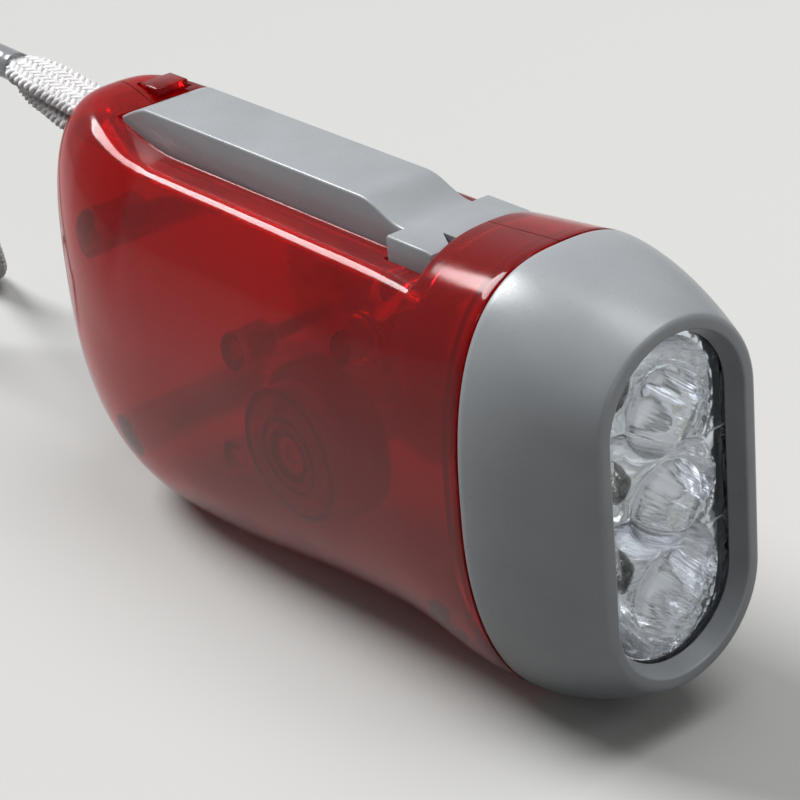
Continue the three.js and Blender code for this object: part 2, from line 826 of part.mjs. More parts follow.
function lampBoard() {
  let board = stadiumPlate(boardHalfWidth, boardHalfHeight, rimCentreZ, boardRearX, boardFrontX);
  for (const height of lampHeights) {
    for (const side of [-1, 1]) {
      const y = side * leadSpacing / 2;
      const z = lampCentreZ + height;
      const radius = leadRadius + gap;
      board = board.subtract(cylinderX(y, z, radius, boardRearX - overrun, boardFrontX + overrun, round.tiny));
    }
  }
  for (const height of boardScrewHeights) {
    const z = lampCentreZ + height;
    const radius = boardScrewRadius + gap;
    board = board.subtract(cylinderX(boardScrewY, z, radius, boardRearX - overrun, boardFrontX + overrun, round.small));
  }
  return board;
}

function boardScrew(height) {
  const z = lampCentreZ + height;
  const seat = boardRearX - gap;
  const tip = reflectorRearX + boardScrewReach - gap;
  const head = cylinderX(boardScrewY, z, boardScrewHeadRadius, seat - boardScrewHeadHeight, seat, round.small);
  return head.add(cylinderX(boardScrewY, z, boardScrewRadius, seat - gap, tip, round.small));
}

function bridgeRectifier() {
  const rectifierZ = lampCentreZ + lampPitch / 2;
  const back = boardRearX - gap;
  return box(
    back - rectifierDepth, back, -rectifierWidth / 2, rectifierWidth / 2,
    rectifierZ - rectifierHeight / 2, rectifierZ + rectifierHeight / 2,
  );
}

// Hinge pin, spring and axles
function rod(x, z, radius, reach) {
  return cylinderY(x, z, radius, -reach, reach, round.small);
}

function tubeAlong(points, radius, sides, steps) {
  const section = new THREE.Shape();
  for (let side = 0; side < sides; side++) {
    const angle = side / sides * 2 * Math.PI;
    const method = side === 0 ? 'moveTo' : 'lineTo';
    section[method](radius * Math.cos(angle), radius * Math.sin(angle));
  }
  const extrudePath = new THREE.CatmullRomCurve3(points, false, 'centripetal');
  return solid(new THREE.ExtrudeGeometry(section, { steps, bevelEnabled: false, extrudePath, curveSegments: 1 }));
}

function springPath() {
  const points = [];
  const count = springTurns * springStepsPerTurn;
  const startY = springPostEndY - springWire;
  const legX = springPostX + springCoilRadius;
  points.push(new THREE.Vector3(legX, startY, springPostZ - springLeg));
  for (let step = 0; step <= count; step++) {
    const angle = step / springStepsPerTurn * 2 * Math.PI;
    const x = springPostX + springCoilRadius * Math.cos(angle);
    const z = springPostZ + springCoilRadius * Math.sin(angle);
    points.push(new THREE.Vector3(x, startY - springPitch * step / springStepsPerTurn, z));
  }
  return points;
}

// Least clear distance between two turns of a coil, measured on its points
function leastGap(points, thickness, pointsPerTurn) {
  let least = Infinity;
  for (let from = 0; from < points.length; from++) {
    for (let to = from + pointsPerTurn / 2; to < points.length; to++) {
      least = Math.min(least, points[from].distanceTo(points[to]) - thickness);
    }
  }
  return least;
}

function leverSpring() {
  const coil = springPath();
  console.log(`lever_spring least gap ${leastGap(coil, springWire, springStepsPerTurn).toFixed(2)} mm`);
  return tubeAlong(coil, springWire / 2, springSides, springTurns * springStepsPerTurn + springLegSteps);
}

// Gears and rotor
function wheel(teeth, module, phase, x, z, y0, y1) {
  return plateY(fromPolar(gearOutline(teeth, module, 0, teeth, phase), x, z), y0, y1);
}

function firstGear() {
  const pinionHighY = firstWheelLowY + gap;
  const pinion = wheel(firstPinionTeeth, sectorModule, firstPinionPhase, firstX, firstZ, firstPinionLowY, pinionHighY);
  const large = wheel(firstWheelTeeth, firstModule, 0, firstX, firstZ, firstWheelLowY, firstWheelHighY);
  return pinion.add(large).subtract(rod(firstX, firstZ, axleRadius + boreGap, axleReach));
}

function secondGear() {
  const large = wheel(secondWheelTeeth, secondModule, 0, secondX, secondZ, secondWheelLowY, secondWheelHighY);
  const lowY = secondWheelHighY - gap;
  const pinion = wheel(secondPinionTeeth, firstModule, secondPinionPhase, secondX, secondZ, lowY, secondPinionHighY);
  return pinion.add(large).subtract(rod(secondX, secondZ, axleRadius + boreGap, axleReach));
}

function flywheel() {
  const disc = cylinderY(rotorX, rotorZ, flywheelRadius, flywheelLowY, flywheelHighY, round.large);
  const web = ringY(
    rotorX, rotorZ, flywheelRadius - flywheelRim, hubRadius * 1.5,
    flywheelLowY - overrun, flywheelLowY + flywheelWebCut, round.large,
  );
  const lowY = flywheelHighY - gap;
  const pinion = wheel(rotorPinionTeeth, secondModule, rotorPinionPhase, rotorX, rotorZ, lowY, rotorPinionHighY);
  return disc.subtract(web).add(pinion).subtract(rod(rotorX, rotorZ, axleRadius + boreGap, shaftReach));
}

function statorCup(outward) {
  const middle = (statorLowY + statorHighY) / 2;
  const y = (distance) => outward ? statorHighY - distance : statorLowY + distance;
  const between = (a, b) => [Math.min(y(a), y(b)), Math.max(y(a), y(b))];
  const half = middle - statorLowY - gap / 2;
  const plate = ringY(rotorX, rotorZ, statorRadius, statorBore, ...between(0, statorPlate), round.large);
  const rim = ringY(rotorX, rotorZ, statorRadius, statorRadius - statorWall, ...between(0, half), round.large);
  const claws = [];
  for (let claw = 0; claw < clawCount; claw++) {
    const turn = (claw + (outward ? 0.5 : 0)) / clawCount * 2 * Math.PI;
    const reach = between(0, statorPlate + clawLength);
    const span = box(-clawWidth / 2, clawWidth / 2, ...reach, clawInnerRadius / 2, statorRadius);
    claws.push(span.rotate([0, turn / degree, 0]).translate([rotorX, 0, rotorZ]));
  }
  const band = ringY(rotorX, rotorZ, clawOuterRadius, clawInnerRadius, ...between(0, statorPlate + clawLength), round.large);
  return union([plate, rim]).add(union(claws).intersect(band));
}

function coilBobbin() {
  const low = statorLowY + statorPlate + gap;
  const high = statorHighY - statorPlate - gap;
  const tube = ringY(rotorX, rotorZ, bobbinCoreRadius, bobbinInnerRadius, low, high, round.large);
  const near = ringY(rotorX, rotorZ, bobbinFlangeRadius, bobbinInnerRadius, low, low + bobbinFlange, round.large);
  const far = ringY(rotorX, rotorZ, bobbinFlangeRadius, bobbinInnerRadius, high - bobbinFlange, high, round.large);
  return union([tube, near, far]);
}

function coilWinding() {
  const low = statorLowY + statorPlate + bobbinFlange + gap * 2;
  const high = statorHighY - statorPlate - bobbinFlange - gap * 2;
  return ringY(rotorX, rotorZ, windingOuterRadius, bobbinCoreRadius + gap, low, high, round.large);
}

function rotorBush(side) {
  const inner = side * (bushBossLowY + gap);
  const outer = inner + side * bushLength;
  const low = Math.min(inner, outer);
  return ringY(rotorX, rotorZ, bushOuterRadius, axleRadius + boreGap, low, low + bushLength, round.medium);
}

// Lead wires, from the rim of the dynamo to the back of the board
function leadWire(place) {
  const spread = wireRadius * 2 + gap * 2;
  const startX = rotorX + statorRadius + wireRadius + gap * 2;
  const y = (statorLowY + statorHighY) / 2 + place * spread / 2;
  const endX = boardRearX - gap;
  const startZ = rotorZ + place * spread / 2;
  const endZ = lampCentreZ - lampPitch + place * spread / 2;
  const shares = [[0, 0, 0], [0.25, 0.1, -0.05], [0.5, 0.3, 0.1], [0.75, 0.7, 0.6], [0.9, 0.95, 0.95], [1, 1, 1]];
  const points = shares.map(([along, inward, up]) => new THREE.Vector3(
    startX + along * (endX - startX), y - inward * (y / 2), startZ + up * (endZ - startZ),
  ));
  return tubeAlong(points, wireRadius, round.tiny, 12);
}

// Screw of the shells, driven from the left side
function shellScrew([x, z]) {
  const top = screwHeadY + screwHeadHeight;
  const long = screwHeadRadius * screwSlotShare;
  const head = cylinderY(x, z, screwHeadRadius, screwHeadY, top, round.medium);
  const shank = cylinderY(x, z, screwShankRadius, screwTipY, screwHeadY + gap, round.small);
  const slots = [0, 1].map((turned) => {
    const [halfX, halfZ] = turned ? [screwSlotWidth / 2, long] : [long, screwSlotWidth / 2];
    return box(x - halfX, x + halfX, top - screwSlotDepth, top + overrun, z - halfZ, z + halfZ);
  });
  return head.add(shank).subtract(union(slots));
}

// Lock slider: a button over the collar, on a stem through its slot
function lockSlider() {
  const button = box(sliderLowX, sliderHighX, sliderLowY, sliderHighY, sliderLowZ, sliderLowZ + sliderThickness);
  const stem = box(stemLowX, stemHighX, stemLowY, stemHighY, stemLowZ, sliderLowZ + sliderThickness / 2);
  return button.add(stem);
}

// Wrist strap: places as [distance out from the rear end, z, half spread in Y, half spread in Z], to the loop's end
const strapRoute = [
  [-2.7, 48.5, 0, 1.4], [1, 48.6, 0, 1.4], [7, 49.3, 0, 1.4], [15, 50.5, -0.5, 1.3], [22, 51.4, -0.95, 1.02],
  [29, 51.6, -1.05, 0.9], [36, 50.8, -1.05, 0.9], [43, 48, -1.5, 0.5], [49.5, 42, -2.4, 0], [54, 33, -4, 0],
  [57, 22, -6.4, 0], [59, 11, -9, 0], [62.5, 3.8, -11.4, 0], [69, 1.4, -13, 0], [78, 1.4, -12, 0], [86, 1.4, -7, 0],
];
const strapLoopEnd = [89, 1.4];
const strapLine = strapRoute.map(([out, z, spreadY, spreadZ]) => [rearX - out, z, spreadY, spreadZ]);
const strapEnd = [rearX - strapLoopEnd[0], strapLoopEnd[1]];

function strapCord() {
  const upper = strapLine.map(([x, z, spreadY, spreadZ]) => new THREE.Vector3(x, spreadY, z + spreadZ));
  const lower = strapLine.map(([x, z, spreadY, spreadZ]) => new THREE.Vector3(x, -spreadY, z - spreadZ));
  const turn = new THREE.Vector3(strapEnd[0], 0, strapEnd[1]);
  return tubeAlong([...upper, turn, ...lower.reverse()], cordRadius, round.tiny, 70);
}

function strapHeight(x) {
  const index = strapLine.findIndex(([place]) => place <= x);
  const [x0, z0] = strapLine[index - 1];
  const [x1, z1] = strapLine[index];
  return z0 + (z1 - z0) * (x - x0) / (x1 - x0);
}

// The sleeve's oval stands across the twisted pair of legs
function strapSleeve() {
  const [, , spreadY, spreadZ] = strapLine[5];
  const halfLong = Math.hypot(spreadY, spreadZ) + cordRadius + sleevePlay;
  const halfShort = cordRadius + sleevePlay;
  const twist = sleeveTwist * degree;
  const section = (x, grow) => {
    const points = [];
    for (let side = 0; side < round.medium; side++) {
      const angle = side / round.medium * 2 * Math.PI;
      const along = Math.cos(angle);
      const long = (halfLong + grow) * Math.sign(along) * Math.abs(along) ** (2 / skinPower);
      const short = (halfShort + grow) * Math.sin(angle);
      points.push([
        x, long * Math.cos(twist) - short * Math.sin(twist),
        strapHeight(x) + long * Math.sin(twist) + short * Math.cos(twist),
      ]);
    }
    return points;
  };
  const stations = 4;
  const skin = (grow, overhang) => {
    const rings = [];
    for (let station = 0; station <= stations; station++) {
      const from = rearX - sleeveStart - sleeveLength - overhang;
      rings.push(section(from + station / stations * (sleeveLength + 2 * overhang), grow));
    }
    return loft(rings);
  };
  return skin(sleeveWall, 0).subtract(skin(0, gap));
}

function strapKnot() {
  const geometry = new THREE.SphereGeometry(1, round.small, round.small / 2);
  geometry.scale(knotLength / 2, knotRadius, knotRadius);
  geometry.translate(strapLine[0][0] + gap + knotLength / 2, 0, strapZ);
  return solid(geometry);
}

const red = 0xb5161b;
const grey = 0x9a9ea2;
const steel = 0xb8bbbf;
const nylon = 0xe9e6dc;

const torch = new THREE.Group();
torch.add(node('shell_right', shell(-1), red, 0.18, 0, 0.6));
torch.add(node('shell_left', shell(1), red, 0.18, 0, 0.6));
torch.add(node('head_bezel', headBezel(), grey, 0.45, 0));
torch.add(node('front_lens', frontLens(), 0xf4f7fa, 0.05, 0, 0.3));
torch.add(node('reflector', reflector(), 0xdfe2e6, 0.08, 1));
['led_top', 'led_middle', 'led_bottom'].forEach((name, index) => {
  torch.add(node(name, lamp(lampHeights[index]), 0xeef2f6, 0.08, 0, 0.5));
});
torch.add(node('led_board', lampBoard(), 0x2f6b45, 0.6, 0));
['board_screw_upper', 'board_screw_lower'].forEach((name, index) => {
  torch.add(node(name, boardScrew(boardScrewHeights[index]), steel, 0.35, 1));
});
torch.add(node('bridge_rectifier', bridgeRectifier(), 0x1c1c1e, 0.5, 0));
torch.add(node('squeeze_lever', squeezeLever(), grey, 0.45, 0));
torch.add(node('lever_pin', rod(hingeX, hingeZ, pinRadius, pinReach), steel, 0.3, 1));
torch.add(node('lever_spring', leverSpring(), steel, 0.3, 1));
torch.add(node('lock_slider', lockSlider(), red, 0.25, 0, 0.7));
torch.add(node('first_gear', firstGear(), nylon, 0.5, 0));
torch.add(node('first_axle', rod(firstX, firstZ, axleRadius, axleReach), steel, 0.3, 1));
torch.add(node('second_gear', secondGear(), nylon, 0.5, 0));
torch.add(node('second_axle', rod(secondX, secondZ, axleRadius, axleReach), steel, 0.3, 1));
torch.add(node('flywheel', flywheel(), 0x3a3a3e, 0.45, 0));
torch.add(node('rotor_shaft', rod(rotorX, rotorZ, axleRadius, shaftReach), steel, 0.25, 1));
torch.add(node('rotor_magnet', rotorMagnet(), 0x2b2b2d, 0.6, 0));
torch.add(node('rotor_bush_right', rotorBush(-1), 0xb08a4a, 0.35, 1));
torch.add(node('rotor_bush_left', rotorBush(1), 0xb08a4a, 0.35, 1));
torch.add(node('stator_cup_inner', statorCup(false), steel, 0.4, 1));
torch.add(node('stator_cup_outer', statorCup(true), steel, 0.4, 1));
torch.add(node('coil_bobbin', coilBobbin(), nylon, 0.5, 0));
torch.add(node('coil_winding', coilWinding(), 0xb4602c, 0.35, 1));
torch.add(node('lead_wire_red', leadWire(1), 0xc02020, 0.5, 0));
torch.add(node('lead_wire_black', leadWire(-1), 0x1d1d1f, 0.5, 0));
['shell_screw_front', 'shell_screw_lower', 'shell_screw_upper'].forEach((name, index) => {
  torch.add(node(name, shellScrew(screwPlaces[index]), steel, 0.35, 1));
});
torch.add(node('strap_cord', strapCord(), 0xe8e4e6, 0.85, 0));
torch.add(node('strap_sleeve', strapSleeve(), 0x8f9196, 0.3, 0, 0.6));
torch.add(node('strap_knot', strapKnot(), 0xe8e4e6, 0.85, 0));

export default torch;
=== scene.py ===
# Squeeze dynamo flashlight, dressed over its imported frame. Sizes are in millimetres until a mesh is made.
import math

import bmesh
import bpy
from mathutils import Matrix, Vector


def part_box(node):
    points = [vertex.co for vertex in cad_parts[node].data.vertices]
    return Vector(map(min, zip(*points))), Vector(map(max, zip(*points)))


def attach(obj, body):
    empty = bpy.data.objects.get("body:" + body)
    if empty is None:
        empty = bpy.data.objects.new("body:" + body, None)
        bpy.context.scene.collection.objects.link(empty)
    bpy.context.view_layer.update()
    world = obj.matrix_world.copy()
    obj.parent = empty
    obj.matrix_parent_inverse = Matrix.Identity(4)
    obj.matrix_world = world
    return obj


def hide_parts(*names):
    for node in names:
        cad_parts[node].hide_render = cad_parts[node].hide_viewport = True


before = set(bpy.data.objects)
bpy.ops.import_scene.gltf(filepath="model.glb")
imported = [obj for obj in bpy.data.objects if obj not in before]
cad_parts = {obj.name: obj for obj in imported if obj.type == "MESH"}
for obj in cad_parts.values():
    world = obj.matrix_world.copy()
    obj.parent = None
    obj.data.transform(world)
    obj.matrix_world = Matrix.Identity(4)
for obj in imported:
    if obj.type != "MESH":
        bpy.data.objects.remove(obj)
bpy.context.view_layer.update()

MM = 0.001
TAU = 2 * math.pi


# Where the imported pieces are, in millimetres
def node_box(name):
    low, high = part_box(name)
    return low / MM, high / MM


def node_middle(name):
    low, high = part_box(name)
    return (low + high) / 2 / MM


shell_low = node_box("shell_right")[0]
head_low, head_high = node_box("head_bezel")
lever_low = node_box("squeeze_lever")[0]
lens_low, lens_high = node_box("front_lens")
reflector_low, reflector_high = node_box("reflector")
slider_low, slider_high = node_box("lock_slider")
sleeve_low, sleeve_high = node_box("strap_sleeve")
flywheel_low, flywheel_high = node_box("flywheel")
shaft_low, shaft_high = node_box("rotor_shaft")
knot_low, knot_high = node_box("strap_knot")

REAR_X = round(shell_low.x, 2)
FRONT_X = round(head_high.x, 2)
HEAD_X = round(head_low.x, 2)
HEAD_TOP = round(head_high.z, 2)
BODY_LENGTH = FRONT_X - REAR_X
HEAD_LENGTH = FRONT_X - HEAD_X

# Welding distance in metres, and how finely round shapes are drawn
WELD = 1e-7
RING_SIDES = 264
HOLE_SIDES = 32

# Outer skin of the grip
BODY_HALF_WIDTH = 17.4
COLLAR_TOP = 56
WALL = 1.8
GAP = 0.3
OVERRUN = 3
ABOVE = HEAD_TOP + OVERRUN
SKIN_POWER = 2.75
BODY_TOP_POWER = 2.25
REAR_TOP_POWER = 2.9
TOP_BLEND_FRONT_X = 16
TOP_BLEND_REAR_INSET = 23
TOP_BLEND_REAR_LENGTH = 12
PLAN_REAR_LENGTH = 33
PLAN_REAR_POWER = 2.6
BELLY_REAR_LENGTH = 28
BELLY_REAR_POWER = 2.2
BELLY_REAR_HEIGHT = 29
TOP_REAR_LENGTH = 9
TOP_REAR_DROP = 8
REAR_END_SHARE = 0.975
FOOT_CUT = 0.25
WAIST_X = 20
WAIST_RISE = 3.8
WAIST_REAR_REACH = 42
WAIST_FRONT_REACH = 17.3
NECK_POWER = 2.15
NECK_LENGTH = 16
END_ROUND = 2.6
INNER_END_ROUND = 1.2
FRONT_EDGE = ((0.08, 0.03), (0, 0.15))
FRONT_EDGE_START = 0.2
SEAM = 0.12
END_STEPS = 6
TOP_STEPS = 26
NECK_STEPS = 12
SPIGOT_STEPS = 5
WALL_FOOT_SHARES = (0.3, 0.55, 0.75, 0.9, 0.97, 1)
WALL_TOP_SHARES = (0.02, 0.06, 0.15, 0.3, 0.5, 0.75, 1)

# Head ring and its rim
RIM_HALF_WIDTH = 11.8
RIM_HALF_HEIGHT = 22.9
RIM_BAND = 1.6
RIM_TAPER = 0.8
RIM_ROUND = 0.5
RIM_LIP = 0.3
RIM_STEPS = 5
RIM_CENTRE_Z = 29.8
SEAT_EASE = 0.2
SEAT_EASE_SHARE = 0.95
HEAD_EDGE = ((0, 0.2), (0.08, 0.06), (0.25, 0))
HEAD_STEPS = 26
HEAD_INNER_STEPS = 10
HEAD_POWER = 1.7
HEAD_WALL = 1.8
SPIGOT_LENGTH = 5.7
SPIGOT_WALL = 1.5
SPIGOT_ROOT = 3.6

# Bed of the lever, and the openings of the shells
BED_HEIGHT = 51.4
BED_WALL = 1.5
BED_FRONT_X = 24.4
BED_RAMP_X = -34
BED_RAMP_SLOPE = 0.3
BED_RAMP_BLEND = 1.2
SLOT_LIP = 0.15
SLOT_LIP_OUT = SLOT_LIP * 0.6
SLOT_LIP_SINK = SLOT_LIP * 0.35
SLOT_LIP_FRONT_INSET = 2
SLOT_LIP_STEPS = 40
CREST_ROUND = 0.95
COLLAR_ROUND = 0.55
SLOT_GAP = 0.4
SLOT_LOW_Z = 40
BAR_POCKET_GAP = 0.5
BAR_POCKET_LOW_Z = 39
BAR_UNDERCUT_LOW_Z = 38
BAR_SWING = 1.9
STRAP_HOLE_HALF_WIDTH = 3.9
STRAP_HOLE_HALF_HEIGHT = 2.95
STRAP_HOLE_ROUND = STRAP_HOLE_HALF_HEIGHT * 0.98
STRAP_Z = 48.5

# Bosses and holes of the shells: radius, and how far from the centre plane they start or end
AXLE_BOSS = (2.4, 10.2)
ROTOR_BOSS = (3.6, 12.5)
HINGE_BOSS_RADIUS = 2.9
SCREW_POST_RADIUS = 3.1
SPRING_POST_RADIUS = 2
SPRING_POST_START = 6.6
RING_RIBS = ((7.9, 8.8, 12.6), (4.6, 5.3, 13.4))
BOSS_SINK = 0.7
BOSS_FRONT_INSET = 1
BOSS_SINK_SIDES = 96
AXLE_HOLE = (1.3, 13.9)
ROTOR_HOLE = (2.7, 15.1)
PIN_HOLE = (1.1, 11.1)
SCREW_HOLE_RADIUS = 1.5
SCREW_HOLE_SPAN = (-9.3, 11.9)
WELL_RADIUS = 2.8
WELL_FLOOR = 11.3

# Lever
LEVER_HALF_WIDTH = 5.4
LEVER_TOP = 56.5
LEVER_DEPTH = 8
LEVER_REAR_X = round(lever_low.x, 2)
LEVER_REAR_DROP = 2.3
LEVER_REAR_LENGTH = 6
LEVER_REAR_POWER = 1.35
LEVER_ROUND = 0.35
BAR_DROP = 2.1
BAR_HALF_WIDTH = 7.9
BAR_FRONT_X = 24
BAR_LENGTH = 8.4
BAR_REAR_X = BAR_FRONT_X - BAR_LENGTH
BAR_CHAMFER = 1
BAR_ROUND = 0.3
STEP_LENGTH = 8
NOTCH_TIP = (20.3, -3.1)
NOTCH_SIDE_Y = -6.3
NOTCH_DEPTH = 3
NOTCH_OVERRUN = 2
NOTCH_CUT = 10
LEVER_STEPS = 12
BAR_STEPS = 24
BORE_OVERRUN = 1
HINGE_DROP = 1
HINGE = Vector((BAR_FRONT_X - BAR_LENGTH / 2, 0, LEVER_TOP - BAR_DROP - BAR_LENGTH / 2 - HINGE_DROP))
SECTOR_RADIUS = 25
SECTOR_TEETH = 50
SECTOR_ANGLES = (192, 245)
SECTOR_SPAN_Y = (-0.4, 2)
SECTOR_INNER_RADIUS = 1.5
RIB_REAR_X = -2
RIB_DEPTH = 4.5
RIB_ROUND = 0.2

# Lock slider
BUTTON_TOP = slider_high.z - 0.45
BUTTON_THICKNESS = 1.35
BUTTON_ROUND = 0.3
STEM_X = (1, 3)
STEM_Y = (1.8, 4.2)
STEM_ROUND = 0.1
STEM_OVERLAP = 0.5
STEM_POCKET_LOW_Z = 48
SLIDER_TRAVEL = 3

# Mechanism places that show through the shell
ROTOR = Vector((3.4, 0, 24.4))
SPRING_POST = Vector((14.3, 0, 41.6))
FIRST_AXLE = node_middle("first_axle")
SECOND_AXLE = node_middle("second_axle")
SCREW_PLACES = [(HEAD_X - 8.3, 11), (REAR_X + 19, 13), (REAR_X + 15, 41)]

# Lamps, window and reflector
LAMP_CENTRE_Z = 29.3
LAMP_PITCH = 11.5
LAMP_RADIUS = 2.5
LAMP_LENGTH = 8.6
LAMP_PLACES = {
    "led_top": LAMP_CENTRE_Z + LAMP_PITCH,
    "led_middle": LAMP_CENTRE_Z,
    "led_bottom": LAMP_CENTRE_Z - LAMP_PITCH,
}
WINDOW_EDGE = 0.25
WINDOW_EDGE_SHARE = 0.3
WINDOW_SIDES = 180
LENS_RADIUS = 5.7
LENS_RISE = 0.9
LENS_SINK = 0.5
LENS_STEPS = 16
CUP_MOUTH_RADIUS = 8.6
CUP_FLOOR_RADIUS = 3.6
CUP_HOLE_RADIUS = 3.15
CUP_DEPTH = 9.3
REFLECTOR_GAP = 0.05
REFLECTOR_WALL = 1.0
REFLECTOR_GRID = (110, 240)


def placed(name, data):
    made = bpy.data.objects.new(name, data)
    bpy.context.scene.collection.objects.link(made)
    return made


# Camera of the photograph, fitted to the part's outline: its angles in degrees and its place
CAMERA_TURN = 53.06
CAMERA_DIP = 26.84
CAMERA_ROLL = -5.36
CAMERA_PLACE = Vector((236.8, -174.3, 173.0))
CAMERA_LENS = 117


def photo_camera():
    data = bpy.data.cameras.new("photo_camera")
    data.lens = CAMERA_LENS
    data.sensor_width = 36
    data.clip_start = 0.01
    data.clip_end = 20
    camera = placed("photo_camera", data)
    aim = Matrix.Rotation(math.radians(CAMERA_TURN), 4, "Z")
    aim = aim @ Matrix.Rotation(math.radians(90 - CAMERA_DIP), 4, "X")
    aim = aim @ Matrix.Rotation(math.radians(CAMERA_ROLL), 4, "Z")
    camera.matrix_world = Matrix.Translation(CAMERA_PLACE * MM) @ aim
    bpy.context.scene.camera = camera


photo_camera()


# Materials
def linear(hex_colour):
    channels = []
    for shift in (16, 8, 0):
        value = (hex_colour >> shift & 255) / 255
        channels.append(value / 12.92 if value <= 0.04045 else ((value + 0.055) / 1.055) ** 2.4)
    return (*channels, 1.0)


PATTERN_SPAN = (0.3, 0.7)


def add_node(tree, kind, settings, links):
    made = tree.nodes.new(kind)
    for name, value in settings.items():
        if isinstance(name, int) or name in made.inputs:
            made.inputs[name].default_value = value
        else:
            setattr(made, name, value)
    for socket, source in links.items():
        tree.links.new(source, made.inputs[socket])
    return made


# A finish whose tone, gloss and relief each follow a pattern: even noise of a size in millimetres and a
# detail, or what a function of its own draws. Tone and gloss run through their range within PATTERN_SPAN.
def finish(name, colour, tone=None, gloss=None, relief=None, **sockets):
    made = bpy.data.materials.new(name)
    made.use_nodes = True
    made.diffuse_color = linear(colour)
    tree = made.node_tree
    shader = tree.nodes["Principled BSDF"]
    for socket, value in {"Base_Color": linear(colour), **sockets}.items():
        shader.inputs[socket.replace("_", " ")].default_value = value
    drawn = {}
    for pattern in [use[0] for use in (tone, gloss, relief) if use]:
        if pattern not in drawn:
            drawn[pattern] = pattern(tree) if callable(pattern) else even_noise(tree, *pattern)
    if tone:
        ramp = add_node(tree, "ShaderNodeValToRGB", {}, {"Fac": drawn[tone[0]]})
        for element, stop, shade in zip(ramp.color_ramp.elements, PATTERN_SPAN, tone[1:]):
            element.position = stop
            element.color = linear(shade)
        tree.links.new(ramp.outputs["Color"], shader.inputs["Base Color"])
    if gloss:
        settings = dict(enumerate((*PATTERN_SPAN, *gloss[1:]), 1))
        spread = add_node(tree, "ShaderNodeMapRange", settings, {0: drawn[gloss[0]]})
        tree.links.new(spread.outputs[0], shader.inputs["Roughness"])
    if relief:
        settings = {"Strength": relief[1], "Distance": relief[2] * MM}
        bump = add_node(tree, "ShaderNodeBump", settings, {"Height": drawn[relief[0]]})
        tree.links.new(bump.outputs["Normal"], shader.inputs["Normal"])
    return made


def even_noise(tree, size, detail):
    place = add_node(tree, "ShaderNodeTexCoord", {}, {}).outputs["Object"]
    settings = {"Scale": 1 / (size * MM), "Detail": detail}
    return add_node(tree, "ShaderNodeTexNoise", settings, {"Vector": place}).outputs["Fac"]


# Streaks that run up the reflector's cups, as the tool was polished
def polishing_streaks(tree):
    around = add_node(tree, "ShaderNodeUVMap", {"uv_map": "around_cup"}, {}).outputs["UV"]
    settings = {"Scale": 9.0, "Detail": 4.0, "Roughness": 0.65}
    return add_node(tree, "ShaderNodeTexNoise", settings, {"Vector": around}).outputs["Fac"]


# Ripples of 2.2 mm with a quarter of the streaks on top
def streaked_ripples(tree):
    links = {0: polishing_streaks(tree), 2: even_noise(tree, 2.2, 1.5)}
    return add_node(tree, "ShaderNodeMath", {"operation": "MULTIPLY_ADD", 1: 0.25}, links).outputs[0]


# One thread of the winding every 0.3 mm; used as a tone it paints shade into the grooves between threads
def wound_threads_and_groove_shade(tree):
    place = add_node(tree, "ShaderNodeTexCoord", {}, {}).outputs["Object"]
    settings = {
        "wave_type": "BANDS", "bands_direction": "Y", "Scale": 1 / (0.3 * MM) / TAU, "Distortion": 0.4,
    }
    return add_node(tree, "ShaderNodeTexWave", settings, {"Vector": place}).outputs["Fac"]


# Glass fibre weave with bundles 0.6 mm wide
def laminate_weave(tree):
    place = add_node(tree, "ShaderNodeTexCoord", {}, {}).outputs["Object"]
    settings = {"Scale": 1 / (0.6 * MM)}
    return add_node(tree, "ShaderNodeTexChecker", settings, {"Vector": place}).outputs["Fac"]


# Injection moulded clear acrylic, dyed red: deep glossy red, hazy enough to blur what is inside
RED = finish(
    "clear_red_acrylic", 0xCA090D, gloss=((9, 2.0), 0.08, 0.12), relief=((14, 1.0), 0.25, 0.5),
    Transmission_Weight=0.82, Roughness=0.1, IOR=1.49, Specular_Tint=linear(0x857A7C),
)

# Moulded grey ABS from a spark eroded tool: an even satin, with its grain drawn at 0.35 mm so that it shows
GREY = finish(
    "satin_grey_abs", 0x94989C, tone=((9, 3.0), 0x909498, 0x989CA0), gloss=((0.35, 2.0), 0.27, 0.37),
    relief=((0.35, 2.0), 0.18, 0.03), Roughness=0.31, IOR=1.54,
)

# Moulded clear polycarbonate window: glassy, with the faintest haze
WINDOW = finish(
    "clear_polycarbonate", 0xF7FAFC, gloss=((6, 2.0), 0.0, 0.03), Transmission_Weight=1.0, Roughness=0.0,
    IOR=1.585,
)

# Vacuum metallised ABS: a bright mirror, slightly wavy, with the streaks of the tool
CHROME = finish(
    "metallised_chrome", 0xECEDF1, tone=(polishing_streaks, 0xE6E8EC, 0xF6F7FA),
    gloss=((0.8, 3.0), 0.03, 0.08), relief=(streaked_ripples, 0.8, 0.5), Metallic=1.0, Roughness=0.06,
)

# Cast clear epoxy of a lamp body: like glass, with soft flow lines
EPOXY = finish(
    "cast_epoxy", 0xF7F8EE, relief=((2.5, 1.0), 0.1, 0.2), Transmission_Weight=1.0, Roughness=0.03, IOR=1.53,
)

# Phosphor in silicone over the lamp's die: a soft yellow dot
PHOSPHOR = finish(
    "phosphor_silicone", 0xE3D23C, tone=((0.2, 3.0), 0xD9C32C, 0xEEE05A), Roughness=0.6, IOR=1.41,
)

# Cold drawn steel with a bright zinc finish: grey metal with fine draw marks
STEEL = finish(
    "bright_steel", 0xB9BCC0, gloss=((0.3, 4.0), 0.2, 0.4), relief=((0.3, 4.0), 0.15, 0.02), Metallic=1.0,
    Roughness=0.28,
)

# Moulded natural acetal of the gears: milky white with a waxy sheen
ACETAL = finish(
    "natural_acetal", 0xE8E5DA, tone=((3, 3.0), 0xE2DFD2, 0xEDEAE0), Roughness=0.4, IOR=1.48,
    Subsurface_Weight=0.15, Subsurface_Radius=(1.0, 0.9, 0.8), Subsurface_Scale=1.2 * MM,
)

